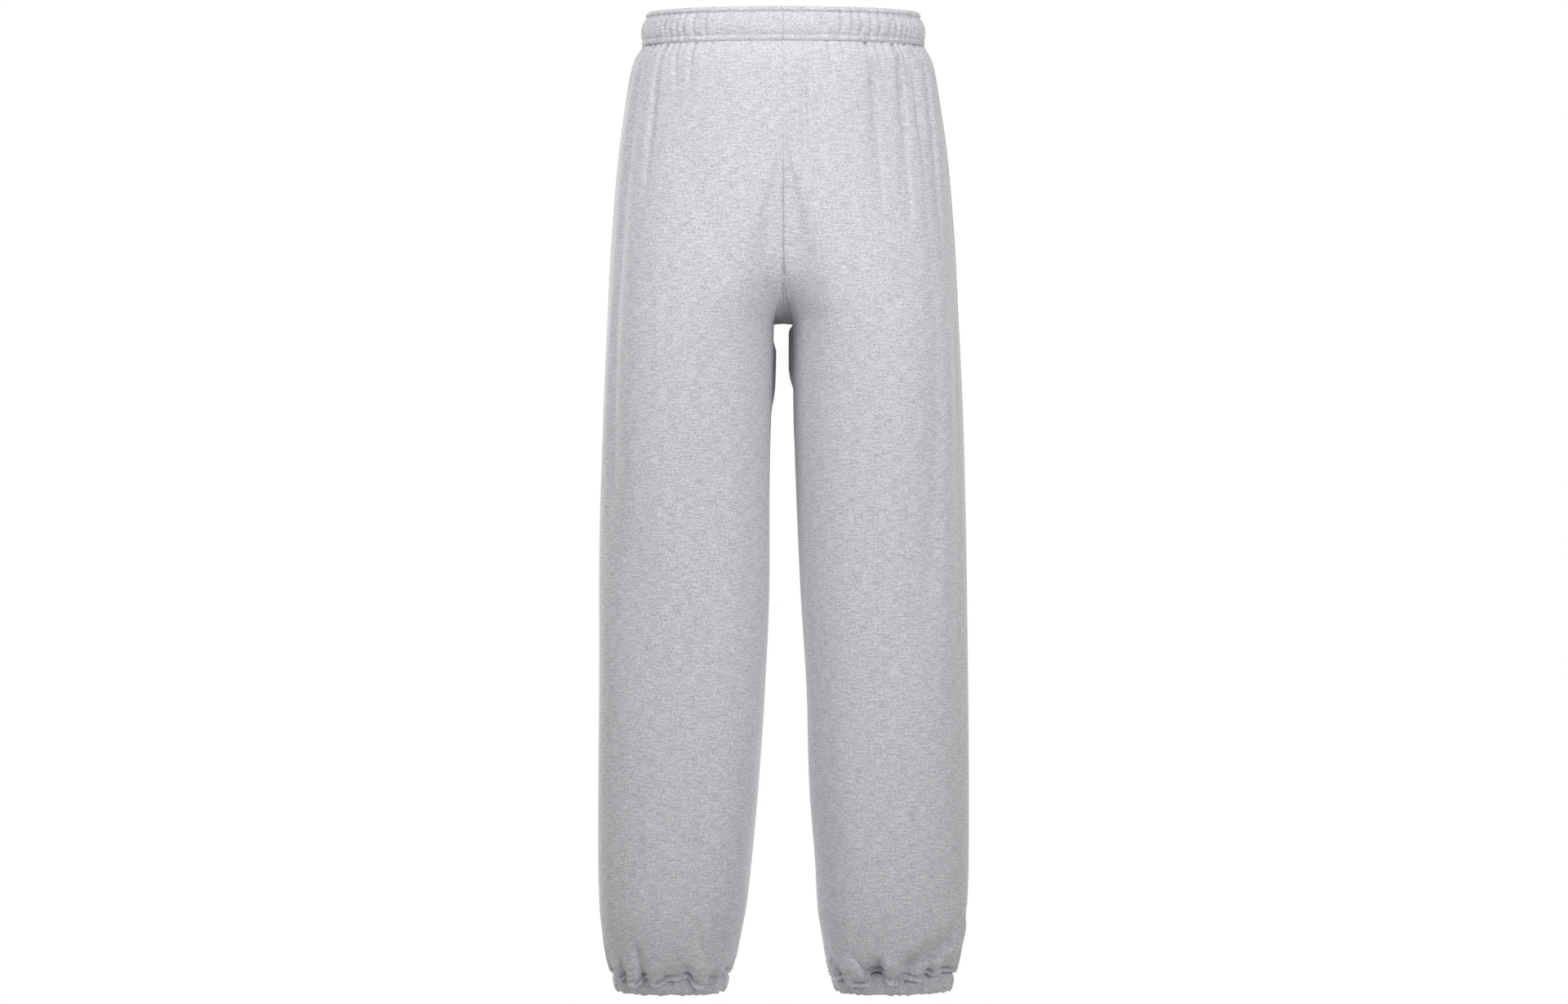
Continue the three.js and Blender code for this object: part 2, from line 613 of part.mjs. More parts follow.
function waistbandHalf(leg) {
  // Runs from the centre back, round the side, to the centre front.
  const halves = ['back', 'front'].map((face) => {
    const name = `${face}_${leg}`;
    const surface = new BandSurface(name);
    return { face, surface, relief: bandRelief(name, surface), gathers: BAND_GATHERS[name] };
  });
  const builder = new ShellBuilder();
  const bandRow = (z, reachesOf, proudOf) => {
    const [back, front] = halves.map(({ face, surface, relief, gathers }) => {
      const reaches = reachesOf(surface.section(z).total, gathers);
      return reaches.map((reach) => (
        placedOn(face, reach, clothPoint(surface, z, reach, proudOf(relief, reach)))
      ));
    });
    const round = [...back.slice(1).reverse(), ...front];
    return builder.row(z, round.map(({ place }) => place), (_, index) => round[index].point);
  };
  const outside = BAND_LEVELS.map(({ z }) => bandRow(
    z,
    (total, gathers) => gatheredReaches(gathers, total),
    (relief, reach) => relief(z, reach),
  ));
  const inside = BAND_LEVELS.filter((_, place) => place % 2 === 0).map(({ z, wall }) => bandRow(
    z,
    (total) => steppedReaches(PLAIN_BAND_STEP, total),
    () => -wall,
  ));
  faceRows(builder, outside, inside);
  builder.join(edgeRow(inside, 'start'), edgeRow(outside, 'start'));
  builder.join(edgeRow(outside, 'end'), edgeRow(inside, 'end'));
  return builder.geometry(leg === 'left' ? 1 : -1, 1);
}

function cuff(leg) {
  // Runs round the ankle from the inseam, over the back, the outseam and the front, and closes.
  const halves = ['back', 'front'].map((face) => {
    const surface = new LegSurface(`${face}_${leg}`);
    return { face, surface, relief: cuffRelief(surface) };
  });
  const builder = new ShellBuilder();
  const cuffRow = (z, wall) => {
    const [back, front] = halves.map(({ face, surface, relief }) => {
      // Its columns are those of the leg's lower edge, so that their wavy lines run side by side.
      const stretch = surface.section(z).total / surface.section(CUFF_TOP).total;
      return steppedReaches(ANKLE_STEP, surface.section(CUFF_TOP).total).map((place) => {
        const reach = place * stretch;
        return placedOn(face, reach, clothPoint(surface, z, reach, wall > 0 ? -wall : relief(z, reach)));
      });
    });
    const round = [...back.slice(1).reverse(), ...front.slice(0, -1)];
    const row = builder.row(z, round.map(({ place }) => place), (_, index) => round[index].point);
    return { z, ids: [...row.ids, row.ids[0]], places: [...row.places, front[front.length - 1].place] };
  };
  const outside = CUFF_ROWS.map((z) => cuffRow(z, 0));
  const inside = [CUFF_ROWS[0], CUFF_ROWS[CUFF_ROWS.length - 1]].map((z) => cuffRow(z, CUFF_WALL));
  faceRows(builder, outside, inside);
  return builder.geometry(leg === 'left' ? 1 : -1, 1);
}

const fleece = new THREE.MeshStandardMaterial({ color: 0xc4c5c9, roughness: 0.95, metalness: 0 });
const casing = new THREE.MeshStandardMaterial({ color: 0xc0c1c5, roughness: 0.95, metalness: 0 });

function addPiece(group, name, geometry, material) {
  const mesh = new THREE.Mesh(geometry, material);
  mesh.name = name;
  group.add(mesh);
}

const sweatpants = new THREE.Group();
for (const leg of ['left', 'right']) {
  addPiece(sweatpants, `front_${leg}`, legPanel(`front_${leg}`), fleece);
  addPiece(sweatpants, `back_${leg}`, legPanel(`back_${leg}`), fleece);
  addPiece(sweatpants, `waistband_${leg}`, waistbandHalf(leg), casing);
  addPiece(sweatpants, `cuff_${leg}`, cuff(leg), casing);
}

export default sweatpants;
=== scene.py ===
# Jogger sweatpants in grey heather fleece, filled out as if worn and held at the waist.
# Scene units are metres, +Z up, front towards -Y. Left and right are the wearer's, so left is +X.
# Tables and cloth sizes are in millimetres, as on a cutter's sheet, and MM makes them metres.

import bmesh
import bpy
import numpy as np
from mathutils import Matrix, Vector


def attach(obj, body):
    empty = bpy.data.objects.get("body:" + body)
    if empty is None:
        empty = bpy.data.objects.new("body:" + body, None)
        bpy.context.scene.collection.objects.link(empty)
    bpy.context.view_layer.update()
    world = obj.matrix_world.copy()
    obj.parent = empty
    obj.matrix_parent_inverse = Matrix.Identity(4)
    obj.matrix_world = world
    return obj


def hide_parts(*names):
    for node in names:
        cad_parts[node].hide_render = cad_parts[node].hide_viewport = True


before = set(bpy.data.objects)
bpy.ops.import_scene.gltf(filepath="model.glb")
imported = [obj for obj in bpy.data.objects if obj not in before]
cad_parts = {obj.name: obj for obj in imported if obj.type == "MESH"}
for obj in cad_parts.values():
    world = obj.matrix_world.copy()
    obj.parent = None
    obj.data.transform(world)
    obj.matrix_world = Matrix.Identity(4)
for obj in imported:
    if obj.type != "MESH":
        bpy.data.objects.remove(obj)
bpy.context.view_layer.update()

# Leg panels
# Two fronts and two backs of cotton fleece, 2 mm thick, sewn at the centre, side and inner leg.
# Each is one sheet laid along level lines from its outseam to its centre seam or inseam, with its
# gathers and folds pressed into it, and then given its thickness.
MM = 0.001
FLEECE = 2
SEAM_GAP = 0.05
HALF_GAP = SEAM_GAP / 2
PANEL_TOP = -17.5
CROTCH = -312
CUFF_WAVE_STARTS = -962
CUFF_TOP = -1004
CUFF_BOTTOM = -1021.5
WAIST_TILT = 0.05
WAIST_TILT_ENDS = -160
OUTER_ROUNDNESS = 2.1
INNER_ROUNDNESS = 2.5
SEAM_BLEND = 2

# Girth by height: half width at the outseam, depths, how far out the deepest point lies, and half
# the gap between the legs.
LEVEL_COLUMNS = ("z", "side", "front", "back", "peak", "inner_right", "inner_left")
LEVELS = (
    (-17, 149.2, 104, 104, 0, 0, 0),
    (-24, 152.8, 108, 108, 0, 0, 0),
    (-31, 156.6, 111.5, 112, 0, 0, 0),
    (-46, 161.4, 115, 117, 0, 0, 0),
    (-81, 167.5, 119, 127, 0, 0, 0),
    (-133, 174.9, 123, 141, 6, 0, 0),
    (-185, 179.7, 126, 147.5, 24, 0, 0),
    (-245, 183.9, 127, 148.5, 52, 0, 0),
    (-265, 184.9, 126.6, 147.4, 60, 1, 1),
    (-280, 185.6, 126, 145.8, 67, 3.4, 3.4),
    (-292, 186.1, 125.2, 144, 73, 5.8, 5.8),
    (-302, 186.6, 124.4, 142.2, 79, 8, 8),
    (-308, 186.8, 123.8, 141, 82, 9.3, 9.3),
    (CROTCH, 187, 123.4, 140.2, 84, 10, 10),
    (-345, 188.6, 120, 132.5, 94, 10.6, 10.6),
    (-410, 191.4, 113, 119, 101, 13, 11.6),
    (-489, 193.6, 103, 106, 104, 14.8, 14.8),
    (-593, 195.3, 92, 93, 106, 15.8, 19),
    (-697, 195.7, 85, 90, 109, 19.1, 25.2),
    (-801, 196, 81, 90, 112, 26, 28.8),
    (-879, 196.2, 79, 87, 115, 33, 34.7),
    (-931, 194.9, 76, 82, 116.5, 39, 37.3),
    (-957, 192.3, 71, 75, 117, 44.3, 40.8),
    (-983, 188.8, 62, 65, 117.5, 49.5, 44.3),
    (-996, 186.2, 53, 55, 118, 52.5, 46.4),
    (CUFF_TOP, 184, 46, 47, 118, 55, 48.5),
    (-1012, 181, 42, 42, 118, 57.5, 51.5),
    (-1018, 179.2, 39.5, 39.5, 118, 60, 54),
    (CUFF_BOTTOM, 176.5, 37, 37, 118, 63, 57),
)

# The rise: how deep the centre seam lies, as a share of the depth beside it.
RISE_COLUMNS = ("z", "front", "back")
RISE = (
    (-17, 1, 1),
    (-98, 1, 1),
    (-133, 0.99, 0.99),
    (-185, 0.96, 0.97),
    (-245, 0.9, 0.93),
    (-265, 0.85, 0.88),
    (-280, 0.75, 0.78),
    (-292, 0.6, 0.62),
    (-302, 0.38, 0.4),
    (-308, 0.18, 0.2),
    (CROTCH, 0, 0),
)

# Wavy line where each leg is gathered into its cuff: place from inseam, 0, to outseam, 1, and drop.
CUFF_LINES = {
    "front_right": (
        (0, -3), (0.1, -4.6), (0.17, -4), (0.203, 0.6), (0.232, 2.5), (0.3, 3.1), (0.333, 6.6),
        (0.363, 5.2), (0.41, -1), (0.496, -0.7), (0.532, 0.4), (0.567, 3.1), (0.596, 4.8),
        (0.642, -0.7), (0.668, 1.6), (0.728, 5.8), (0.77, -1), (0.824, 2), (0.867, -3.8), (1, -2.6),
    ),
    "front_left": (
        (0, -3), (0.05, -3.4), (0.12, -1.4), (0.177, 0.3), (0.22, -1.8), (0.253, 4), (0.307, 3.6),
        (0.348, 2), (0.374, -2.3), (0.406, -4.2), (0.439, -2.3), (0.472, 2.5), (0.508, 5.6),
        (0.54, 3.1), (0.57, -1.6), (0.643, 0.4), (0.69, -6.2), (0.745, -2.7), (0.798, -6.6), (1, -1.8),
    ),
    "back_right": (
        (0, -3), (0.09, -3), (0.16, 1.5), (0.27, -3.5), (0.36, 4.5), (0.42, 2), (0.5, -2.5),
        (0.6, 5.5), (0.66, 1), (0.71, -3), (0.8, 3.5), (0.88, -1), (1, -2.6),
    ),
    "back_left": (
        (0, -3), (0.08, -1.4), (0.15, 2.5), (0.25, -3), (0.33, 4.5), (0.4, -1), (0.47, -3.5),
        (0.56, 5.5), (0.62, 3), (0.69, -2), (0.78, 4.5), (0.87, -2), (1, -1.8),
    ),
}
# Places where a fold of the leg hangs over that seam and hides it, and their half widths in mm.
HANGING_FOLDS = {
    "front_right": ((0.845, 4), (0.745, 3), (0.62, 4.5), (0.318, 3.5)),
    "front_left": ((0.262, 4),),
    "back_right": ((0.2, 4), (0.47, 4.5), (0.76, 4)),
    "back_left": ((0.28, 4), (0.52, 4), (0.83, 4.5)),
}


def back_gathers(seed):
    """The back is gathered all the way, most of it short, every third or fourth gather long."""
    rows = []
    for index, across in enumerate(uneven_places(18, 0.07, seed)):
        sway = np.sin(seed * 3 + index * 1.9)
        long = index % 4 == 1 or index % 7 == 3
        length = 120 + 70 * sway if long else 40 + 18 * sway
        rows.append((across, 0.02 * sway, length, 2.4 if long else 1.2 + 0.4 * sway))
    return rows


def uneven_places(count, first, seed, last=0.98):
    """Uneven but repeatable places from near the centre seam out to the outseam."""
    step = (last - first) / (count - 1)
    index = np.arange(count)
    places = first + index * step + 0.3 * step * np.sin(seed + index * 2.4)
    places[-1] = last
    return places


# Gathers under the waistband: place from the centre seam, 0, to the outseam, 1, how far the valley
# moves along by its end, its length and its depth.
GATHERS = {
    "front_right": (
        (0.37, 0, 20, 0.7), (0.42, 0, 22, 0.5), (0.465, -0.02, 55, 1.6), (0.515, 0, 24, 0.7),
        (0.56, -0.05, 60, 1.4), (0.6, 0, 22, 0.8), (0.64, -0.02, 180, 2.8), (0.69, 0, 28, 0.9),
        (0.75, -0.02, 85, 2.4), (0.8, 0.01, 160, 3.4), (0.85, 0, 40, 1.1), (0.9, 0, 70, 1.6),
        (0.935, 0, 36, 1), (0.97, 0, 26, 0.6),
    ),
    "front_left": (
        (0.16, 0, 20, 0.4), (0.23, 0, 45, 1.2), (0.3, 0, 24, 0.6), (0.345, 0, 24, 0.6),
        (0.39, 0, 18, 0.8), (0.435, -0.01, 190, 2.8), (0.485, 0, 30, 0.8), (0.53, 0, 22, 0.9),
        (0.6, -0.05, 200, 3), (0.64, 0, 28, 0.8), (0.675, -0.02, 160, 2.6), (0.725, 0, 30, 0.9),
        (0.785, -0.07, 240, 2.7), (0.835, 0, 44, 1.1), (0.88, 0.02, 180, 2.2), (0.93, 0, 60, 1.4),
        (0.97, 0, 28, 0.6),
    ),
    "back_right": back_gathers(0.7),
    "back_left": back_gathers(2.9),
}

# Soft folds lower down: place and height of the top, place and height of the end, depth, width.
FOLDS = {
    "front_right": (
        (0.8, -90, 0.76, -420, 4.5, 14), (0.42, -150, 0.2, -262, 1.8, 18), (0.66, -815, 0.36, -870, 1.6, 9),
    ),
    "front_left": (
        (0.096, -50, 0.096, -125, 4, 4.5), (0.64, -260, 0.62, -560, 3, 16), (0.83, -300, 0.82, -640, 2.5, 14),
        (0.93, -940, 0.66, -985, 10, 17),
    ),
    "back_right": (
        (0.34, -190, 0.1, -300, 4, 16), (0.62, -240, 0.4, -420, 3, 18), (0.84, -120, 0.8, -430, 3, 15),
        (0.3, -600, 0.62, -660, 3, 16), (0.7, -940, 0.64, -1000, 4, 9),
    ),
    "back_left": (
        (0.36, -175, 0.12, -296, 3.6, 15), (0.58, -255, 0.36, -400, 3.4, 17), (0.8, -130, 0.82, -410, 3, 16),
        (0.66, -590, 0.34, -640, 2.8, 15), (0.6, -948, 0.68, -1000, 4, 9),
    ),
}
# Creases above the cuff, placed like the cuff line: top and end places and heights, depth, width.
CUFF_CREASES = {
    "front_right": (
        (0.93, -966, 0.93, -1003, 1.8, 3), (0.785, -984, 0.785, -1003, 2.4, 4.5),
        (0.668, -970, 0.655, -1003, 3.4, 5), (0.43, -988, 0.4, -1003, 2.6, 8),
        (0.27, -993, 0.26, -1004, 2.4, 7), (0.04, -978, 0.17, -999, 2.6, 5),
    ),
    "front_left": (
        (0.12, -972, 0.225, -1001, 3.4, 4.5), (0.43, -982, 0.425, -1003, 4.5, 8),
        (0.6, -978, 0.52, -1000, 2.8, 7), (0.77, -986, 0.75, -1000, 1.6, 5), (0.9, -975, 0.93, -1000, 1.5, 4),
    ),
    "back_right": (
        (0.12, -972, 0.15, -1001, 2.6, 6), (0.3, -966, 0.27, -1003, 3, 5), (0.52, -980, 0.55, -1003, 2.8, 7),
        (0.7, -968, 0.68, -1002, 3.2, 5), (0.9, -975, 0.88, -1001, 2, 5),
    ),
    "back_left": (
        (0.1, -970, 0.14, -1001, 2.6, 6), (0.24, -978, 0.22, -1003, 2.8, 5),
        (0.46, -966, 0.45, -1003, 3.2, 6),
        (0.66, -974, 0.7, -1002, 3, 6), (0.88, -970, 0.9, -1001, 2.2, 5),
    ),
}
# One fold that laps over its neighbour above a cuff, placed the same way, with its height.
LAPPED_FOLDS = {"front_left": ((0.3, -974, 0.372, -1001, 6),)}

# Rows of the sheets, finest where the cloth is gathered or turned under, as (from, to, step), and
# the last rows by their distance above the cuff.
PANEL_ROWS = (
    (PANEL_TOP, -21, 0.5), (-21, -40, 1.6), (-40, -90, 3.2), (-90, -282, 6.5), (-282, -311.5, 2),
    (-312.5, -330, 3), (-330, -925, 10), (-925, -972, 3.2), (-972, -986, 1.6),
)
LAST_ROWS = np.array((
    17.2, 16, 14.6, 13.2, 12, 10.8, 9.6, 8.4, 7.2, 6.2, 5.2, 4.4, 3.8, 3.3, 2.9, 2.6, 2.3, 2, 1.7, 1.4, 1.1,
    0.8, 0.5, 0.3, 0.12, 0,
))
FIRST_COLUMNS = np.array([0, 0.5, 1, 1.6, 2.4, 3.6])
LAST_COLUMNS = np.array([8, 6.2, 4.8, 3.8, 3.2, 2.8, 2.4, 1.9, 1.4, 0.9, 0.5, 0.2, 0])
PLAIN_COLUMNS = 214
WEB_COLUMNS = 4
LINE_STEPS = 260


def smooth_step(value):
    held = np.clip(value, 0, 1)
    return held * held * (3 - 2 * held)


def curve_through(places, values):
    """A smooth curve through points in rising order that doesn't overshoot them."""
    places, values = np.array(places, float), np.array(values, float)
    spans = np.diff(places)
    steps = np.diff(values) / spans
    agree = steps[:-1] * steps[1:] > 0
    sums = np.where(agree, steps[:-1] + steps[1:], 1)
    middle = np.where(agree, 2 * steps[:-1] * steps[1:] / sums, 0)
    slopes = np.concatenate((steps[:1], middle, steps[-1:]))

    def read(place):
        held = np.clip(place, places[0], places[-1])
        low = np.clip(np.searchsorted(places, held, side="right") - 1, 0, len(places) - 2)
        span = spans[low]
        t = (held - places[low]) / span
        start = (1 + 2 * t) * (1 - t) ** 2 * values[low] + t * (1 - t) ** 2 * span * slopes[low]
        end = t * t * (3 - 2 * t) * values[low + 1] + t * t * (t - 1) * span * slopes[low + 1]
        return start + end

    return read


def curves_of_height(columns, rows):
    """One smooth curve of height for each column of a table that runs downwards."""
    table = np.array(rows, float)[::-1]
    return {
        name: curve_through(table[:, 0], table[:, place])
        for place, name in enumerate(columns) if place > 0
    }


def stepped(spans):
    """Heights from each span's top to its end, in about equal steps."""
    parts = [np.linspace(top, end, max(2, round((top - end) / step) + 1)) for top, end, step in spans]
    return np.unique(np.concatenate(parts))[::-1]


LEVEL_CURVES = curves_of_height(LEVEL_COLUMNS, LEVELS)
RISE_CURVES = curves_of_height(RISE_COLUMNS, RISE)
CUFF_CURVES = {name: curve_through(*np.array(line).T) for name, line in CUFF_LINES.items()}


def joined(short_of_peak, short_at_seam):
    """The leg's own round and the centre seam's depth as one surface: the nearer to the front wins."""
    leg_part = np.maximum(short_of_peak, 1e-9) ** -SEAM_BLEND
    seam_part = np.maximum(short_at_seam, 1e-9) ** -SEAM_BLEND
    return (leg_part + seam_part - 1) ** (-1 / SEAM_BLEND)


def level_lines(face, leg, z, gap):
    """Level lines of one quarter, x > 0 and y < 0, from the outseam round to its inner edge."""
    level = {name: curve(z)[:, None] for name, curve in LEVEL_CURVES.items()}
    depth = level[face]
    peak = np.maximum(level["peak"], gap)
    inner = np.maximum(level["inner_" + leg], gap)
    seam_depth = gap + (depth - gap) * RISE_CURVES[face](z)[:, None]
    turn = np.linspace(0, np.pi / 2, LINE_STEPS)[None, :]
    cosine, sine = np.cos(turn).clip(0, 1), np.sin(turn)
    power, inner_power = 2 / OUTER_ROUNDNESS, 2 / INNER_ROUNDNESS
    outer_part = (peak + (level["side"] - peak) * cosine**power, gap + (depth - gap) * sine**power)
    short_of_peak = 1 - cosine[:, 1:] ** inner_power
    short_at_seam = 1 - (seam_depth - gap) / (depth - gap)
    short = joined(short_of_peak, short_at_seam)
    inner_part = (peak - (peak - inner) * sine[:, 1:] ** inner_power, depth - (depth - gap) * short)
    x = np.concatenate((outer_part[0], inner_part[0]), 1)
    y = -np.concatenate((outer_part[1], inner_part[1]), 1)
    steps = np.hypot(np.diff(x, axis=1), np.diff(y, axis=1))
    run = np.concatenate((np.zeros((len(z), 1)), np.cumsum(steps, axis=1)), 1)
    width = run[:, LINE_STEPS - 1] + peak[:, 0]
    return x, y, run, width


def leg_surface(face, leg, z, columns_of, gap=HALF_GAP):
    """Points of the smooth leg, a row for each height, with the distance of each from the outseam."""
    x, y, run, width = level_lines(face, leg, z, gap)
    total = run[:, -1]
    reach = columns_of(total)
    rows = range(len(z))
    level_x = np.array([np.interp(reach[row], run[row], x[row]) for row in rows])
    level_y = np.array([np.interp(reach[row], run[row], y[row]) for row in rows])
    forward = level_y if face == "front" else -level_y
    tilt = WAIST_TILT * forward * smooth_step(1 - z / WAIST_TILT_ENDS)[:, None]
    cuff_share = (z - CUFF_BOTTOM) / (CUFF_TOP - CUFF_BOTTOM)
    leg_share = smooth_step((CUFF_WAVE_STARTS - z) / (CUFF_WAVE_STARTS - CUFF_TOP))
    wave = np.where(z < CUFF_TOP, cuff_share, leg_share)[:, None]
    line = CUFF_CURVES[f"{face}_{leg}"](1 - reach / total[:, None])
    points = np.stack((level_x, level_y, z[:, None] + tilt - wave * line), axis=2)
    return points, reach, total[:, None], width[:, None], line


def outward(points):
    """Unit normals of a sheet in the quarter x > 0, y < 0, from its neighbouring points."""
    down, along = np.gradient(points, axis=0), np.gradient(points, axis=1)
    normal = np.cross(along, down)
    length = np.linalg.norm(normal, axis=2, keepdims=True)
    return normal / np.maximum(length, 1e-9)


def crease(distance, width, lean=0.0, swell=0.32):
    """A valley with a low swell on each side, one side steeper where it leans."""
    across = distance / width / (1 + lean * np.tanh(distance / width))
    return np.exp(-(np.abs(across) ** 1.5)) - swell * np.exp(-((across / 2.6) ** 2))


def ripple(reach, pitch, seed):
    """Uneven small waves of about one pitch, from -1 to 1."""
    random = np.random.default_rng(seed)
    shares, phases = random.uniform(0.75, 1.4, 4), random.uniform(0, 2 * np.pi, 4)
    waves = [np.sin(2 * np.pi * reach / (pitch * share) + phase) for share, phase in zip(shares, phases)]
    return sum(waves) / 2.6


def slow_waves(reach, z, seed):
    """Long low waves that hanging cloth has, mostly running down the leg."""
    random = np.random.default_rng(seed)
    total = np.zeros_like(reach)
    for pitch, depth in ((62, 0.5), (85, 0.7), (120, 0.9), (170, 1.1), (240, 1.2)):
        slope = random.uniform(-0.22, 0.22)
        phase = random.uniform(0, 2 * np.pi)
        fade = 0.6 + 0.4 * np.sin(z / random.uniform(70, 150) + random.uniform(0, 2 * np.pi))
        total += depth * fade * np.sin(2 * np.pi * (reach + slope * z) / pitch + phase)
    return total


PANEL_SEEDS = {"front_right": 11, "front_left": 23, "back_right": 37, "back_left": 41}
MICRO_GATHERS_FROM = {"front_right": 0.3, "front_left": 0.2, "back_right": -0.3, "back_left": -0.3}

# Section of a leg's turned lower edge: distance above the cuff and how far the cloth stands out,
# where it shows as a rolled ridge and where a fold hangs over it.
ROLLED_EDGE = curve_through(
    (0, 0.15, 0.5, 1, 1.6, 2.1, 2.6, 3.1, 3.8, 5.2, 8, 12, 16, 24),
    (-3.4, -0.8, 1.5, 2.3, 1.8, 0, -3.2, -4.4, -3.6, -1.4, 0.1, 0.5, 0.6, 0),
)
COVERED_EDGE = curve_through((0, 0.15, 0.5, 1.1, 3, 8, 16, 24), (-3.4, 0, 1.1, 1.7, 2, 1.4, 0.5, 0))
SEAM_END_EDGE = curve_through((0, 0.5, 1.4, 3, 6, 24), (-3.4, -2.2, -1.2, -0.4, 0, 0))
FELLED_STRIP = 2.8
STRIP_HEIGHT, STRIP_GROOVE = 0.3, 0.4
# The back's cloth bulges in between the legs below the fork, behind the inseam: distance from the
# inseam, top, end and height.
INSEAM_BULGES = {"back_left": (13, -308, -390, 6), "back_right": (13, -326, -410, 3.5)}
BULGE_WIDTH, BULGE_STARTS_OVER, BULGE_ENDS_OVER = 8, 12, 30

# Gathers: the cloth's own swell below the band, how wide a valley is and opens on its way down, and
# how strong, leaning and swollen at its sides it is. Then the fine puckers between them.
BLOUSING, BLOUSED_FROM, BLOUSED_TO = 0.7, 12, 70
VALLEY_WIDTH, VALLEY_OPENS, OPENS_OVER = 2.2, 1.6, 60
GATHER_STRENGTH, GATHER_LEAN, GATHER_SWELL = 1.8, 0.45, 0.14
PUCKER, PUCKER_PITCH, PUCKERS_TO = 0.4, 7, 11

# Folds and creases: their strength and lean, and how a lapped fold and its hollow fade sideways.
FOLD_STRENGTH, CREASE_STRENGTH, FOLD_LEAN = 1.2, 2, 0.3
LAP_EDGE, LAP_FADES, HOLLOW_FADES, HOLLOW_SHARE = 0.6, 11, 8, 1.2

# Around the cuffs: how far the seam stands out by its line and strays, and its quiet ends.
SEAM_BY_LINE, SEAM_STRAY, STRAY_PITCH = 0.5, 0.6, 14
QUIET_SIDE, QUIET_INSIDE, QUIET_END = 9, 12, 11
LEG_BULGE_FADES, CUFF_BULGE_FADES = 18, 8

# The hanging waves start below the band, end above the cuff and are low beside the centre seam.
WAVES_FROM, WAVES_TO, BESIDE_RISE, CALM_AT_RISE = 60, 50, 50, 0.8

# Seam grooves as depth and half width. The centre seam's gets deeper low on the rise, where the left
# front also lies a step behind the right one.
SIDE_GROOVE, BAND_GROOVE, INSEAM_WIDTH = (1.0, 1.3), (0.9, 0.8), 1.2
RISE_GROOVE, LOW_RISE_GROOVE = (0.1, 0.8), (1.7, 0.6)
LOW_RISE_FROM, LOW_RISE_OVER, FORK_OVER = -90, 110, 40
STEP_WIDTH, STEP_BACK, STEP_OUT = 9, -1.2, 0.1


def gathered_relief(name, down, reach, width):
    """Gathers under the waistband, long and short, with fine puckers between them."""
    seed = PANEL_SEEDS[name]
    relief = BLOUSING * smooth_step(down / BLOUSED_FROM) * (1 - smooth_step(down / BLOUSED_TO))
    for place, drift, length, depth in GATHERS[name]:
        run = down / length
        fade = 1 - smooth_step(run - 0.2)
        opened = VALLEY_WIDTH + VALLEY_OPENS * np.minimum(down / OPENS_OVER, 2)
        lean = GATHER_LEAN * np.sin(37 * place + seed)
        distance = reach - (1 - place - drift * run) * width
        relief = relief - GATHER_STRENGTH * depth * fade * crease(distance, opened, lean, GATHER_SWELL)
    puckered = smooth_step((1 - reach / width - MICRO_GATHERS_FROM[name]) / 0.3)
    return relief + PUCKER * puckered * np.exp(-down / PUCKERS_TO) * ripple(reach, PUCKER_PITCH, seed)


def folded_relief(name, z, reach, total, width):
    """Soft folds down the leg and the sharper creases that run into the cuff."""
    relief = 0
    kinds = ((FOLDS[name], width, FOLD_STRENGTH), (CUFF_CREASES[name], total, CREASE_STRENGTH))
    for rows, measured, strength in kinds:
        for place, top, end_place, end, depth, fold_width in rows:
            run = (top - z) / (top - end)
            fade = smooth_step((run + 0.3) / 0.5) * smooth_step((1.5 - run) / 0.5)
            distance = (place + (end_place - place) * run - 1) * measured + reach
            relief = relief - strength * depth * fade * crease(distance, fold_width, FOLD_LEAN)
    for place, top, end_place, end, height in LAPPED_FOLDS.get(name, ()):
        run = (top - z) / (top - end)
        past_edge = (place + (end_place - place) * run - 1 + reach / total) * total
        over = 0.5 * (1 + np.tanh(past_edge / LAP_EDGE))
        lapped = over * np.exp(-np.maximum(past_edge, 0) / LAP_FADES)
        hollow = (1 - over) * np.exp(-np.maximum(-past_edge, 0) / HOLLOW_FADES)
        relief = relief + height * smooth_step(run * 1.6) * (lapped - HOLLOW_SHARE * hollow)
    return relief


def seam_bulge(name, reach, total, line):
    """How the seam of leg and cuff stands out where it runs low, and in where it runs high."""
    ends = smooth_step(reach / QUIET_SIDE) * smooth_step((total - reach) / QUIET_INSIDE)
    stray = SEAM_STRAY * ripple(reach, STRAY_PITCH, PANEL_SEEDS[name] + 2)
    return ends * (SEAM_BY_LINE * line + stray)


def cuff_edge(name, above, reach, total):
    """The leg's turned lower edge: rolled where it shows, smooth under a fold, flat at a seam."""
    seam_end = np.exp(-((reach / QUIET_END) ** 4)) + np.exp(-(((total - reach) / QUIET_END) ** 4))
    covered = 0
    for place, half_width in HANGING_FOLDS[name]:
        covered = covered + np.exp(-(((reach - (1 - place) * total) / half_width) ** 2))
    covered = np.minimum(covered, 1 - seam_end)
    shown = 1 - covered - seam_end
    return ROLLED_EDGE(above) * shown + COVERED_EDGE(above) * covered + SEAM_END_EDGE(above) * seam_end


def groove(distance, width):
    return np.exp(-((distance / width) ** 2))


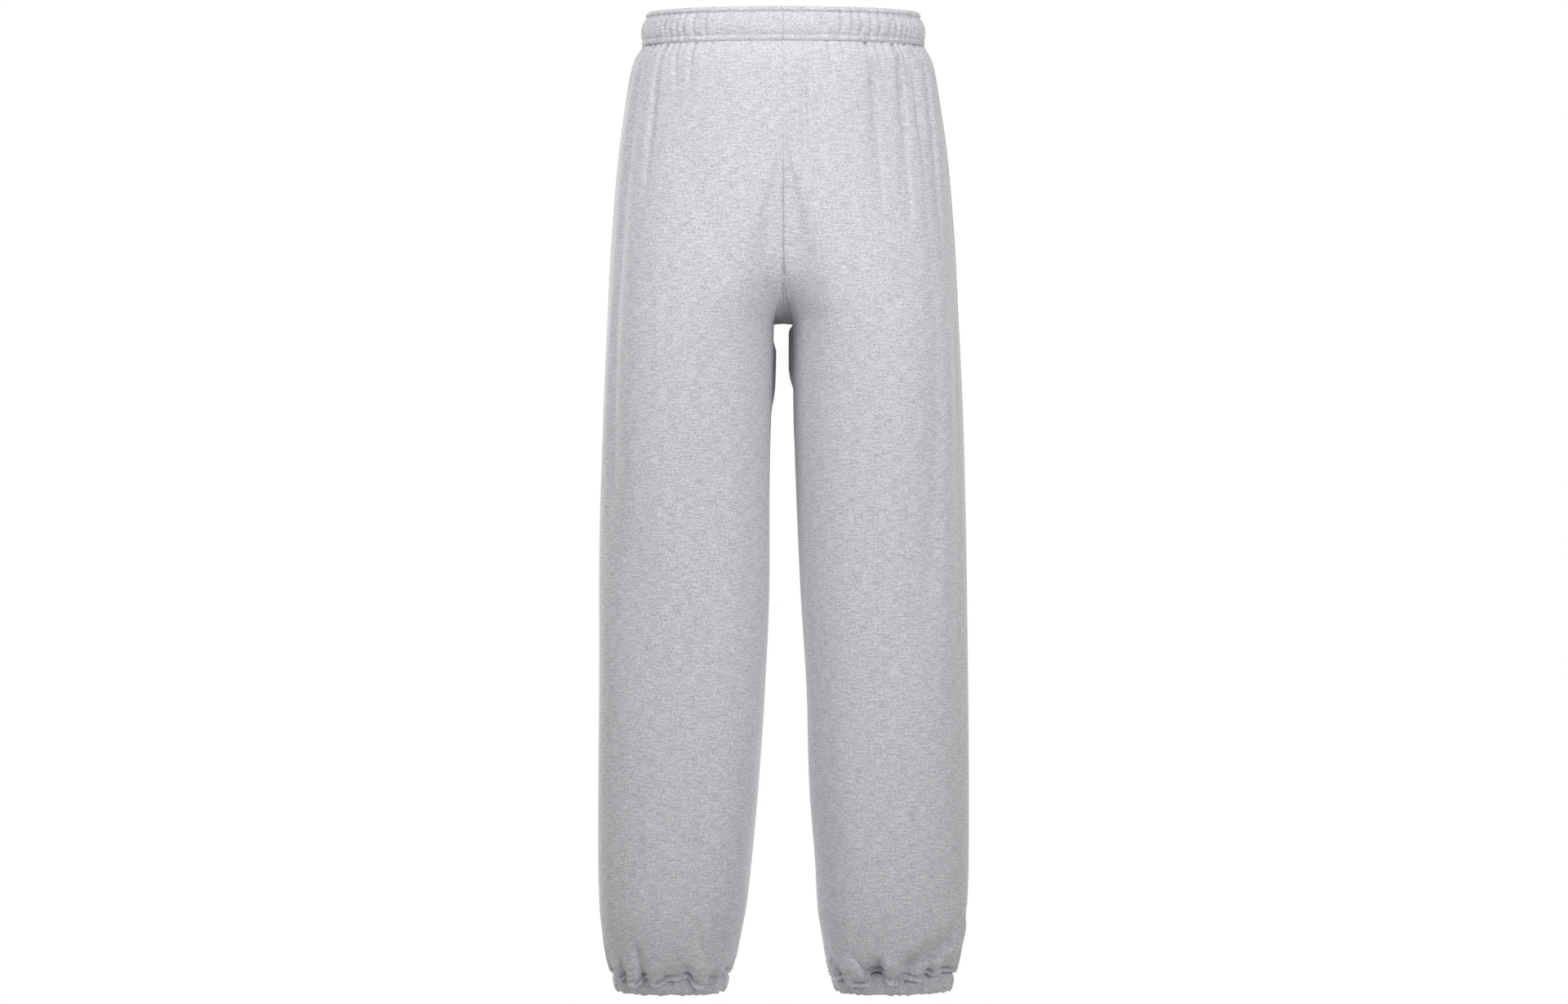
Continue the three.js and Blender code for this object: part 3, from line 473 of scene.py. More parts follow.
def panel_relief(name, z, reach, total, width, line):
    """How far each point of a leg panel stands in front of the smooth leg or behind it."""
    down, above = PANEL_TOP - z, z - CUFF_TOP
    from_side, from_inside = reach, total - reach
    above_crotch = smooth_step((z - CROTCH) / FORK_OVER)
    relief = gathered_relief(name, down, reach, width) + folded_relief(name, z, reach, total, width)
    waves = slow_waves(reach, z, PANEL_SEEDS[name] + 1)
    calm = 1 - CALM_AT_RISE * groove(from_inside, BESIDE_RISE) * above_crotch
    relief = relief + waves * smooth_step(down / WAVES_FROM) * smooth_step(above / WAVES_TO) * calm
    relief = relief * smooth_step(from_side / QUIET_SIDE) * smooth_step(from_inside / QUIET_INSIDE)
    relief = relief + seam_bulge(name, reach, total, line) * np.exp(-above / LEG_BULGE_FADES)
    relief = relief + cuff_edge(name, above, reach, total)
    low_rise = smooth_step((LOW_RISE_FROM - z) / LOW_RISE_OVER) * above_crotch
    rise_depth = RISE_GROOVE[0] + LOW_RISE_GROOVE[0] * low_rise
    rise_width = RISE_GROOVE[1] + LOW_RISE_GROOVE[1] * low_rise
    relief = relief - SIDE_GROOVE[0] * groove(from_side, SIDE_GROOVE[1])
    relief = relief - (1 - above_crotch) * groove(from_inside, INSEAM_WIDTH)
    relief = relief - above_crotch * rise_depth * groove(from_inside, rise_width)
    relief = relief - BAND_GROOVE[0] * np.exp(-down / BAND_GROOVE[1])
    step_height = STEP_BACK if name == "front_left" else STEP_OUT
    relief = relief + low_rise * step_height * np.exp(-from_inside / STEP_WIDTH)
    if name.startswith("back"):
        place, top, end, height = INSEAM_BULGES[name]
        window = smooth_step((top - z) / BULGE_STARTS_OVER) * smooth_step((z - end) / BULGE_ENDS_OVER)
        relief = relief + height * window * groove(from_inside - place, BULGE_WIDTH)
    if name.endswith("left"):
        strip = smooth_step((FELLED_STRIP - from_inside) / 0.7)
        beside = groove(from_inside - FELLED_STRIP, 0.55)
        relief = relief + above_crotch * (STRIP_HEIGHT * strip - STRIP_GROOVE * beside)
    return relief


def panel_columns(total):
    plain = np.linspace(0, 1, PLAIN_COLUMNS)[None, 1:-1]
    first, last = FIRST_COLUMNS[-1], LAST_COLUMNS[0]
    middle = first + (total[:, None] - first - last) * plain
    ones = np.ones((len(total), 1))
    return np.concatenate((ones * FIRST_COLUMNS, middle, total[:, None] - LAST_COLUMNS), 1)


def turned(points, leg, face):
    """The same shape on its own side of the garment."""
    return points * np.array([1 if leg == "left" else -1, 1 if face == "front" else -1, 1])


def cloth_mesh(name, points, cloth, merge=0.02):
    """A grid with a corner for each point, in metres, with the cloth's own measure as its UV map."""
    rows, columns = points.shape[:2]
    sheet = bmesh.new()
    bmesh.ops.create_grid(sheet, x_segments=columns - 1, y_segments=rows - 1, size=0.5)
    mesh = bpy.data.meshes.new(name)
    sheet.to_mesh(mesh)
    mesh.vertices.foreach_set("co", (points * MM).reshape(-1))
    corners = np.zeros(len(mesh.loops), np.int32)
    mesh.loops.foreach_get("vertex_index", corners)
    measure = mesh.uv_layers.new(name="cloth")
    measure.data.foreach_set("uv", (cloth.reshape(-1, 2)[corners] * MM).reshape(-1))
    sheet.clear()
    sheet.from_mesh(mesh)
    bmesh.ops.remove_doubles(sheet, verts=sheet.verts, dist=merge * MM)
    for face in sheet.faces:
        face.smooth = True
    sheet.to_mesh(mesh)
    sheet.free()
    return mesh


def add_piece(name, mesh, *materials):
    piece = bpy.data.objects.new(name, mesh)
    bpy.context.scene.collection.objects.link(piece)
    for material in materials:
        mesh.materials.append(material)
    return piece


def shader_nodes(tree):
    """Returns a function that adds a node and wires or sets its inputs by name or place."""
    def add(kind, inputs=(), **settings):
        node = tree.nodes.new(kind)
        for key, value in settings.items():
            setattr(node, key, value)
        for key, value in dict(inputs).items():
            if isinstance(value, bpy.types.NodeSocket):
                tree.links.new(value, node.inputs[key])
            else:
                node.inputs[key].default_value = value
        return node
    return add


FLECK_MIX, FLECK_RANGE, LAYER_OFFSET = 0.4, (0.39, 0.71), 37.0
SWAY_SCALE, SWAY = 140, 0.0012
MOTTLE_SCALE, MOTTLE = 85, 0.1
NAP_SCALE = 900


def heather_group():
    """Melange jersey: short level flecks of dark and light fibre, and the nap that they stand in."""
    group = bpy.data.node_groups.new("heather_jersey", "ShaderNodeTree")
    sockets = group.interface
    for name, kind, value in (
        ("Cloth", "NodeSocketVector", (0, 0, 0)),
        ("Light Fibre", "NodeSocketColor", (0.7, 0.7, 0.7, 1)),
        ("Dark Fibre", "NodeSocketColor", (0.3, 0.3, 0.3, 1)),
        ("Short Fleck", "NodeSocketFloat", 0.0036),
        ("Long Fleck", "NodeSocketFloat", 0.011),
        ("Fleck Height", "NodeSocketFloat", 0.0013),
    ):
        sockets.new_socket(name, in_out="INPUT", socket_type=kind).default_value = value
    sockets.new_socket("Color", in_out="OUTPUT", socket_type="NodeSocketColor")
    sockets.new_socket("Height", in_out="OUTPUT", socket_type="NodeSocketFloat")
    add = shader_nodes(group)
    given = add("NodeGroupInput").outputs


    def noise(vector, scale, detail, roughness=0.5):
        inputs = {"Vector": vector, "Scale": scale, "Detail": detail, "Roughness": roughness}
        return add("ShaderNodeTexNoise", inputs, noise_dimensions="2D").outputs[0]

    sway = noise(given["Cloth"], SWAY_SCALE, 1.0)
    lift = add("ShaderNodeMath", {0: sway, 1: 0.5}, operation="SUBTRACT")
    wander = add("ShaderNodeMath", {0: lift.outputs[0], 1: SWAY}, operation="MULTIPLY")
    offset = add("ShaderNodeCombineXYZ", {"Y": wander.outputs[0]})
    strayed = add("ShaderNodeVectorMath", {0: given["Cloth"], 1: offset.outputs[0]}, operation="ADD")
    layers = []
    for length, offset in (("Short Fleck", 0.0), ("Long Fleck", LAYER_OFFSET)):
        size = add("ShaderNodeCombineXYZ", {"X": given[length], "Y": given["Fleck Height"], "Z": 1.0})
        counted = add("ShaderNodeVectorMath", {0: strayed.outputs[0], 1: size.outputs[0]}, operation="DIVIDE")
        moved = add("ShaderNodeVectorMath", {0: counted.outputs[0], 1: (offset, offset, 0)}, operation="ADD")
        layers.append(noise(moved.outputs[0], 1.0, 3.0, 0.6))
    flecks = add("ShaderNodeMix", {0: FLECK_MIX, 2: layers[0], 3: layers[1]})
    mottle = noise(given["Cloth"], MOTTLE_SCALE, 2.0)
    mottled = add("ShaderNodeMath", {0: mottle, 1: MOTTLE}, operation="MULTIPLY")
    mixed = add("ShaderNodeMath", {0: flecks.outputs[0], 1: mottled.outputs[0]}, operation="ADD")
    least, most = FLECK_RANGE
    share = add("ShaderNodeMapRange", {"Value": mixed.outputs[0], "From Min": least, "From Max": most})
    fibres = {0: share.outputs[0], 6: given["Light Fibre"], 7: given["Dark Fibre"]}
    colour = add("ShaderNodeMix", fibres, data_type="RGBA")
    nap = noise(given["Cloth"], NAP_SCALE, 3.0)
    height = add("ShaderNodeMath", {0: nap, 1: flecks.outputs[0]}, operation="ADD")
    add("NodeGroupOutput", {"Color": colour.outputs[2], "Height": height.outputs[0]})
    return group


HEATHER = heather_group()


def heather_material(name, light, dark, fleck, nap, sheen):
    """Matt fleece with the heather of the given fibre colours."""
    material = bpy.data.materials.new(name)
    material.use_nodes = True
    tree = material.node_tree
    tree.nodes.clear()
    add = shader_nodes(tree)
    cloth = add("ShaderNodeUVMap", uv_map="cloth")
    fibres = {"Light Fibre": (*light, 1), "Dark Fibre": (*dark, 1)}
    flecks = {"Short Fleck": fleck[0], "Long Fleck": fleck[1], "Fleck Height": fleck[2]}
    heather = add("ShaderNodeGroup", node_tree=HEATHER)
    tree.links.new(cloth.outputs[0], heather.inputs["Cloth"])
    for socket, value in {**fibres, **flecks}.items():
        heather.inputs[socket].default_value = value
    bump = add("ShaderNodeBump", {"Height": heather.outputs["Height"], "Strength": 0.6, "Distance": nap})
    surface = add(
        "ShaderNodeBsdfPrincipled",
        {
            "Base Color": heather.outputs["Color"],
            "Normal": bump.outputs[0],
            "Roughness": 0.95,
            "Specular IOR Level": 0.15,
            "Sheen Weight": sheen,
            "Sheen Roughness": 0.55,
        },
    )
    add("ShaderNodeOutputMaterial", {"Surface": surface.outputs[0]})
    return material


LIGHT_FIBRE, DARK_FIBRE = (0.745, 0.752, 0.772), (0.4, 0.407, 0.43)
BACK_LIGHT, BACK_DARK = (0.78, 0.786, 0.8), (0.55, 0.556, 0.57)
FLECK, BACK_FLECK = (0.0024, 0.011, 0.0016), (0.003, 0.004, 0.002)
fleece = heather_material("heather_fleece", LIGHT_FIBRE, DARK_FIBRE, FLECK, 0.0004, 0.3)
fleece_back = heather_material("brushed_fleece_back", BACK_LIGHT, BACK_DARK, BACK_FLECK, 0.0009, 0.5)

# Offsets in mm that keep each piece's cloth measure apart from the others in the UV map.
CLOTH_APART, CASINGS_APART = 700, 900
BAND_CLOTH_FROM, CUFF_CLOTH_FROM = 5000, 8000
z_rows = np.concatenate((stepped(PANEL_ROWS), CUFF_TOP + LAST_ROWS))
panel_grids = {}
for name in ("front_left", "front_right", "back_left", "back_right"):
    face, leg = name.split("_")
    z = z_rows
    smooth, reach, total, width, line = leg_surface(face, leg, z, panel_columns)
    relief = panel_relief(name, z[:, None], reach, total, width, line)
    points = smooth + outward(smooth) * relief[:, :, None]
    points[:, :, 0] = np.maximum(points[:, :, 0], HALF_GAP)
    points[:, :, 1] = np.minimum(points[:, :, 1], -HALF_GAP)
    # Above the crotch a narrow web of the same cloth runs on from the inner edge to the centre seam.
    edge = points[:, -1:, :]
    web = np.repeat(edge, WEB_COLUMNS, axis=1)
    over = (z > CROTCH)[:, None] * (edge[:, :, 0] - HALF_GAP)
    web[:, :, 0] -= over * (np.arange(WEB_COLUMNS) + 1) / WEB_COLUMNS
    points = np.concatenate((points, web), axis=1)
    reach = np.concatenate((reach, total + over * (np.arange(WEB_COLUMNS) + 1) / WEB_COLUMNS), axis=1)
    points = turned(points, leg, face)
    offset = CLOTH_APART * PANEL_SEEDS[name]
    cloth = np.stack((reach + offset, np.broadcast_to(z[:, None], reach.shape)), axis=2)
    panel_grids[name] = points
    if (leg == "left") != (face == "front"):
        points, cloth = points[:, ::-1], cloth[:, ::-1]
    panel = add_piece(f"panel_{name}", cloth_mesh(f"panel_{name}", points, cloth), fleece, fleece_back)
    wall = panel.modifiers.new("wall", "SOLIDIFY")
    wall.thickness = FLEECE * MM
    wall.offset = -1
    wall.material_offset = 1
    wall.material_offset_rim = 0
    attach(panel, "root")
    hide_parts(name)

# Waistband
# An elastic casing of the same fleece, folded double and gathered, in two halves that meet at the
# centre seams. Each is one wall that runs up inside, over the ruffled header and down outside.
BAND_COLUMNS = ("z", "side", "depth", "gather", "wall")
BAND_LEVELS = (
    (17.4, 144.3, 99.4, 0.3, 3),
    (15, 146, 101, 0.45, 3),
    (12.4, 145, 100, 0.7, 3),
    (7, 148.2, 103, 1.8, 4.4),
    (-2, 150.2, 105, 2.1, 4.4),
    (-8, 150, 104.8, 1.7, 4.4),
    (-11.4, 149.2, 104, 0.8, 4.4),
    (-14.4, 150, 104.8, 0.7, 4.4),
    (-17.2, 149.4, 104.2, 0.6, 4.4),
)
BAND_CURVES = curves_of_height(BAND_COLUMNS, BAND_LEVELS)
HEADER_STITCHES, UPPER_STITCHES, LOWER_STITCHES = 12.4, -11.4, -16.7
STITCH_ROWS = (HEADER_STITCHES, UPPER_STITCHES, LOWER_STITCHES)
BAND_ROWS = stepped((
    (17.4, 13.4, 0.65), (13.4, 11.4, 0.25), (11.4, -10.2, 1.2), (-10.2, -12.4, 0.24), (-12.4, -15.6, 0.8),
    (-15.6, -17.2, 0.22),
))
BAND_ROWS = np.unique(np.concatenate((BAND_ROWS, STITCH_ROWS)))[::-1]
BAND_GATHERS = {
    "front_right": (
        0.41, 0.478, 0.537, 0.58, 0.624, 0.66, 0.705, 0.75, 0.8, 0.85, 0.895, 0.94, 0.98,
    ),
    "front_left": (
        0.3, 0.362, 0.41, 0.467, 0.518, 0.585, 0.63, 0.672, 0.71, 0.747, 0.785, 0.825, 0.865, 0.905,
        0.945, 0.98,
    ),
    "back_right": uneven_places(21, 0.05, 0.4),
    "back_left": uneven_places(21, 0.05, 1.9),
}
BAND_LEANS = {"front_right": 0.03, "front_left": 0.14, "back_right": 0.05, "back_left": -0.06}
BAND_SMOOTH_TO = {"front_right": 0.36, "front_left": 0.24, "back_right": 0, "back_left": 0}
BAND_STEP = 1.05
ROUNDED_END = np.array([1.8, 1.1, 0.7, 0.5, 0.34, 0.22, 0.12, 0.05, 0])
END_ROUNDING = 0.25
RIB_WIDTH, RIB_SWELL, RIB_DEPTH = 1.15, 0.5, 1.6
HEADER_RIPPLE, HEADER_PITCH = 0.2, 6.5
FRILL, FRILL_PITCH = 0.18, 8
STITCH_GROOVE, STITCH_GROOVE_WIDTH = 0.3, 0.4
SEWN_PUCKER, GATHERED_PUCKER, SEWN_PITCH, SEWN_WIDTH = 0.12, 0.3, 3.3, 1.3
STRIP_RIPPLE, STRIP_PITCH = 0.3, 2.4
CENTRE_GROOVE, CENTRE_GROOVE_WIDTH = 0.15, 0.8
FOLD_STEPS = 6


def resample(run, points, reach):
    """Points of each row at the given distances along it."""
    rows = [
        [np.interp(at, along, line[:, axis]) for axis in range(3)]
        for along, line, at in zip(run, points, reach)
    ]
    return np.swapaxes(np.array(rows), 1, 2)


def gauss(distance, width):
    return np.exp(-0.5 * (distance / width) ** 2)


def band_quarter(face, z):
    """Smooth outside of a quarter of the band, x > 0 and y < 0, from the outseam to the centre."""
    side, depth = BAND_CURVES["side"](z)[:, None], BAND_CURVES["depth"](z)[:, None]
    turn = np.linspace(0, np.pi / 2, LINE_STEPS)[None, :]
    x = side * np.cos(turn).clip(0, 1) ** (2 / OUTER_ROUNDNESS)
    y = -(depth * np.sin(turn) ** (2 / OUTER_ROUNDNESS))
    forward = y if face == "front" else -y
    points = np.stack((x, y, z[:, None] + WAIST_TILT * forward), axis=2)
    steps = np.hypot(np.diff(x, axis=1, prepend=x[:, :1]), np.diff(y, axis=1, prepend=y[:, :1]))
    run = np.cumsum(steps, axis=1)
    total = run[:, -1:]
    plain = np.linspace(0, 1, round(total.mean() / BAND_STEP))[None, :]
    reach = np.concatenate(((total - ROUNDED_END[0]) * plain, total - ROUNDED_END[1:]), axis=1)
    points = resample(run, points, reach)
    points[:, :, 0] = np.maximum(points[:, :, 0], HALF_GAP)
    return points, reach, total


def band_relief(name, z, reach, total):
    """Gathers of the band: ribs on the roll, ripples in the header, puckers at each stitch row."""
    seed = PANEL_SEEDS[name] + 5
    lean = BAND_LEANS[name] * z
    valleys = sum(gauss(reach - (1 - place) * total + lean, RIB_WIDTH) for place in BAND_GATHERS[name])
    gathered = smooth_step((1 - reach / total - BAND_SMOOTH_TO[name]) / 0.2)
    relief = BAND_CURVES["gather"](z) * (RIB_SWELL * gathered - RIB_DEPTH * valleys)
    header = gathered * smooth_step((z - HEADER_STITCHES) / 3)
    relief = relief + HEADER_RIPPLE * header * ripple(reach, HEADER_PITCH, seed)
    for order, row in enumerate(STITCH_ROWS):
        relief = relief - STITCH_GROOVE * gauss(z - row, STITCH_GROOVE_WIDTH)
        puckers = (SEWN_PUCKER + GATHERED_PUCKER * gathered) * ripple(reach, SEWN_PITCH, seed + 20 + order)
        relief = relief + puckers * gauss(z - row, SEWN_WIDTH)
    strip = smooth_step((UPPER_STITCHES - z) / 1.5)
    relief = relief + STRIP_RIPPLE * strip * gathered * ripple(reach, STRIP_PITCH, seed + 1)
    ends = smooth_step(reach / 3) * smooth_step((total - reach) / 5)
    return relief * ends - CENTRE_GROOVE * gauss(total - reach, CENTRE_GROOVE_WIDTH)


def length_down(points):
    """Distance down the cloth to each row of a wall, from its first row."""
    steps = np.linalg.norm(np.diff(points, axis=0), axis=2).mean(axis=1)
    return np.concatenate(([0], np.cumsum(steps)))[:, None]


def folded_wall(outer, inner, upwards):
    """Rows round a wall with its two faces joined by a half round at their first rows."""
    middle, half = (outer[:1] + inner[:1]) / 2, (outer[:1] - inner[:1]) / 2
    height = np.linalg.norm(half, axis=2, keepdims=True) * np.array([0, 0, upwards])
    turn = np.linspace(np.pi, 0, FOLD_STEPS + 2)[1:-1, None, None]
    fold = middle + half * np.cos(turn) + height * np.sin(turn)
    return np.concatenate((inner[::-1], fold, outer, inner[-1:]))


band_lines = {}
for leg in ("left", "right"):
    outer_parts, inner_parts, reach_parts = [], [], []
    for face in ("back", "front"):
        name = f"{face}_{leg}"
        z = BAND_ROWS[:, None]
        smooth, reach, total = band_quarter(face, BAND_ROWS)
        relief = band_relief(name, z, reach, total)
        frill = FRILL * smooth_step((z - HEADER_STITCHES) / 4) * ripple(reach, FRILL_PITCH, PANEL_SEEDS[name])
        outer = smooth + outward(smooth) * relief[:, :, None]
        outer[:, :, 2] += frill
        inner = smooth - outward(smooth) * (BAND_CURVES["wall"](z) - 0.3 * relief)[:, :, None]
        inner[:, :, 2] += frill
        rounding = np.sqrt(1 - (1 - np.clip((total - reach) / END_ROUNDING, 0, 1)) ** 2)[:, :, None]
        middle = (outer + inner) / 2
        outer, inner = (middle + (part - middle) * rounding for part in (outer, inner))
        outer, inner = turned(outer, "left", face), turned(inner, "left", face)
        signed = reach if face == "front" else -reach
        if face == "back":
            outer, inner, signed = outer[:, :0:-1], inner[:, :0:-1], signed[:, :0:-1]
        outer_parts.append(outer)
        inner_parts.append(inner)
        reach_parts.append(signed)
    outer, inner, reach = (np.concatenate(parts, axis=1) for parts in (outer_parts, inner_parts, reach_parts))
    points = folded_wall(outer, inner, 1)
    cloth = np.stack(np.broadcast_arrays(reach[:1], -length_down(points)), axis=2)
    cloth[:, :, 0] += BAND_CLOTH_FROM + CASINGS_APART * (leg == "left")
    band_lines[leg] = turned(outer, leg, "front"), turned(outward(outer), leg, "front")
    points = turned(points, leg, "front")
    if leg == "right":
        points, cloth = points[:, ::-1], cloth[:, ::-1]
    band = add_piece(f"casing_waist_{leg}", cloth_mesh(f"casing_waist_{leg}", points, cloth), fleece)
    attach(band, "root")
    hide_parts(f"waistband_{leg}")

# Cuffs
# A narrow elastic casing of fleece round each ankle, folded double, that draws the leg in. It hangs
# from the leg's wavy seam, and its own gathers run down to a soft folded edge.
CUFF_GATHERS = {
    "front_right": (0.12, 0.3, 0.345, 0.5, 0.6, 0.725, 0.8, 0.9),
    "front_left": (0.1, 0.235, 0.3, 0.44, 0.52, 0.66, 0.73, 0.85, 0.93),
    "back_right": uneven_places(9, 0.08, 2.2, 0.93),
    "back_left": uneven_places(9, 0.08, 0.9, 0.93),
}
CUFF_VALLEY, CUFF_VALLEY_WIDTH, CUFF_SWELL = 1.3, 2.1, 0.2
CUFF_RIPPLE, CUFF_PITCH = 0.4, 9
HEM_STRAY, HEM_PITCH, HEM_VALLEY = 0.45, 17, 0.4
CUFF_WALL = 3.6
CUFF_COLUMNS = 150
CUFF_ROWS = CUFF_TOP - np.array((
    0.1, 0.5, 1, 1.6, 2.4, 3.4, 4.6, 6, 7.6, 9.2, 10.8, 12.3, 13.6, 14.6, 15.4, 15.9,
))
CUFF_SECTION = curve_through((0, 0.8, 2.4, 6, 12, 16), (-4.4, -4, -2.4, -0.5, -0.2, -1))


def cuff_gathers(name, down, reach, total):
    """Soft valleys down the cuff, and how far its folded edge strays from level."""
    seed = PANEL_SEEDS[name] + 9
    valleys = sum(gauss(reach - (1 - place) * total, CUFF_VALLEY_WIDTH) for place in CUFF_GATHERS[name])
    relief = CUFF_SWELL + CUFF_RIPPLE * ripple(reach, CUFF_PITCH, seed) - CUFF_VALLEY * valleys
    ends = smooth_step(reach / 6) * smooth_step((total - reach) / 6)
    stray = HEM_STRAY * ripple(reach, HEM_PITCH, seed + 1) - HEM_VALLEY * valleys
    return relief * ends * smooth_step(down / 3), stray * ends * smooth_step(down / 14)


def even_columns(total):
    return total[:, None] * np.linspace(0, 1, CUFF_COLUMNS)[None, :]


for leg in ("left", "right"):
    outer_parts, inner_parts, reach_parts = [], [], []
    for face in ("front", "back"):
        name = f"{face}_{leg}"
        down = (CUFF_TOP - CUFF_ROWS)[:, None]
        smooth, reach, total, width, line = leg_surface(face, leg, CUFF_ROWS, even_columns)
        relief, stray = cuff_gathers(name, down, reach, total)
        bulge = seam_bulge(name, reach, total, line) * np.exp(-down / CUFF_BULGE_FADES)
        relief = relief + CUFF_SECTION(down) + bulge
        normal = outward(smooth)
        normal[:, :1] *= (1, 0, 1)
        normal[:, -1:] *= (1, 0, 1)
        outer = smooth + normal * relief[:, :, None]
        inner = smooth - normal * (CUFF_WALL - 0.4 * relief)[:, :, None]
        outer[:, :, 2] += stray
        inner[:, :, 2] += stray
        outer, inner = turned(outer, "left", face), turned(inner, "left", face)
        if face == "back":
            outer, inner, reach = outer[:, ::-1], inner[:, ::-1], 2 * total - reach[:, ::-1]
            outer, inner, reach = outer[:, 1:], inner[:, 1:], reach[:, 1:]
        outer_parts.append(outer)
        inner_parts.append(inner)
        reach_parts.append(reach)
    outer, inner, reach = (np.concatenate(parts, axis=1) for parts in (outer_parts, inner_parts, reach_parts))
    points = folded_wall(outer[::-1], inner[::-1], -1)[::-1]
    cloth = np.stack(np.broadcast_arrays(reach[:1], -length_down(points)), axis=2)
    cloth[:, :, 0] += CUFF_CLOTH_FROM + CASINGS_APART * (leg == "left")
    points = turned(points, leg, "front")
    if leg == "right":
        points, cloth = points[:, ::-1], cloth[:, ::-1]
    cuff = add_piece(f"casing_ankle_{leg}", cloth_mesh(f"casing_ankle_{leg}", points, cloth), fleece)
    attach(cuff, "root")
    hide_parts(f"cuff_{leg}")

# Stitching
# Lockstitch in a matching grey thread: one row under the header, a twin row along the band's lower
# edge, and one row down each centre seam. Each stitch is a short bead of thread sunk into the nap.
STITCH_LENGTH, STITCH_PITCH, THREAD = 2.7, 3.4, 0.5
THREAD_LIFT = 0.05


def read_along(run, points, at):
    return np.stack([np.interp(at, run, points[:, axis]) for axis in range(3)], axis=1)


def sew(name, lines):
    """Beads of thread along lines of points, each with the outward direction at its points."""
    bead = bmesh.new()
    bmesh.ops.create_uvsphere(bead, u_segments=6, v_segments=4, radius=0.5)
    bead.transform(Matrix.Diagonal((THREAD, THREAD, STITCH_LENGTH, 1)))
    corners = np.array([corner.co for corner in bead.verts])
    faces = [[corner.index for corner in face.verts] for face in bead.faces]
    bead.free()
    beads = []
    for points, normals in lines:
        run = np.concatenate(([0], np.cumsum(np.linalg.norm(np.diff(points, axis=0), axis=1))))
        starts = np.arange(STITCH_PITCH / 2, run[-1] - STITCH_LENGTH, STITCH_PITCH)
        first, last = read_along(run, points, starts), read_along(run, points, starts + STITCH_LENGTH)
        along = (last - first) / np.linalg.norm(last - first, axis=1, keepdims=True)
        across = np.cross(read_along(run, normals, starts + STITCH_LENGTH / 2), along)
        across /= np.linalg.norm(across, axis=1, keepdims=True)
        out = np.cross(along, across)
        axes = np.stack((across, out, along), axis=1)
        centre = (first + last) / 2 + out * THREAD_LIFT
        beads.append(np.einsum("vk,nkj->nvj", corners, axes) + centre[:, None, :])
    beads = np.concatenate(beads) * MM
    mesh = bpy.data.meshes.new(name)
    starts = len(corners) * np.arange(len(beads))
    every_face = [[corner + start for corner in face] for start in starts.tolist() for face in faces]
    mesh.from_pydata(beads.reshape(-1, 3).tolist(), [], every_face)
    mesh.shade_smooth()
    piece = add_piece(name, mesh, thread)
    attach(piece, "root")


thread = bpy.data.materials.new("thread")
thread.use_nodes = True
thread.node_tree.nodes.clear()
add = shader_nodes(thread.node_tree)
place = add("ShaderNodeTexCoord")
twist = add("ShaderNodeTexNoise", {"Vector": place.outputs["Object"], "Scale": 2600, "Detail": 1.0})
shade = add("ShaderNodeMapRange", {"Value": twist.outputs[0], "To Min": 0.52, "To Max": 0.68})
strand = add("ShaderNodeCombineColor", {0: shade.outputs[0], 1: shade.outputs[0], 2: shade.outputs[0]})
twisted = add("ShaderNodeBump", {"Height": twist.outputs[0], "Strength": 0.5, "Distance": 0.0001})
sheen = {"Base Color": strand.outputs[0], "Normal": twisted.outputs[0], "Roughness": 0.6}
add("ShaderNodeOutputMaterial", {"Surface": add("ShaderNodeBsdfPrincipled", sheen).outputs[0]})

for leg in ("left", "right"):
    outer, normals = band_lines[leg]
    sewn_rows = [int(np.argmin(np.abs(BAND_ROWS - row))) for row in STITCH_ROWS]
    sew(f"thread_waist_{leg}", [(outer[row], normals[row]) for row in sewn_rows])
seam_lines = []
for name in ("front_left", "back_left"):
    grid = panel_grids[name]
    column = -WEB_COLUMNS - 1 - int(np.argmin(np.abs(LAST_COLUMNS[::-1] - FELLED_STRIP)))
    line = grid[z_rows > -300, column]
    facing = np.array([0, -1.0 if name.startswith("front") else 1.0, 0])
    seam_lines.append((line, np.tile(facing, (len(line), 1))))
sew("thread_centre_seam", seam_lines)

# Studio
# Plain pale floor, soft lights and a level camera in front, as the garment was photographed.
camera_data = bpy.data.cameras.new("camera")
camera_data.lens = 86.4
camera_data.sensor_width = 36
camera = bpy.data.objects.new("camera", camera_data)
camera.location = (0.0009, -4, -0.5008)
camera.rotation_euler = (np.pi / 2, 0, 0)
bpy.context.scene.collection.objects.link(camera)
bpy.context.scene.camera = camera
bpy.context.scene.view_settings.view_transform = "Standard"

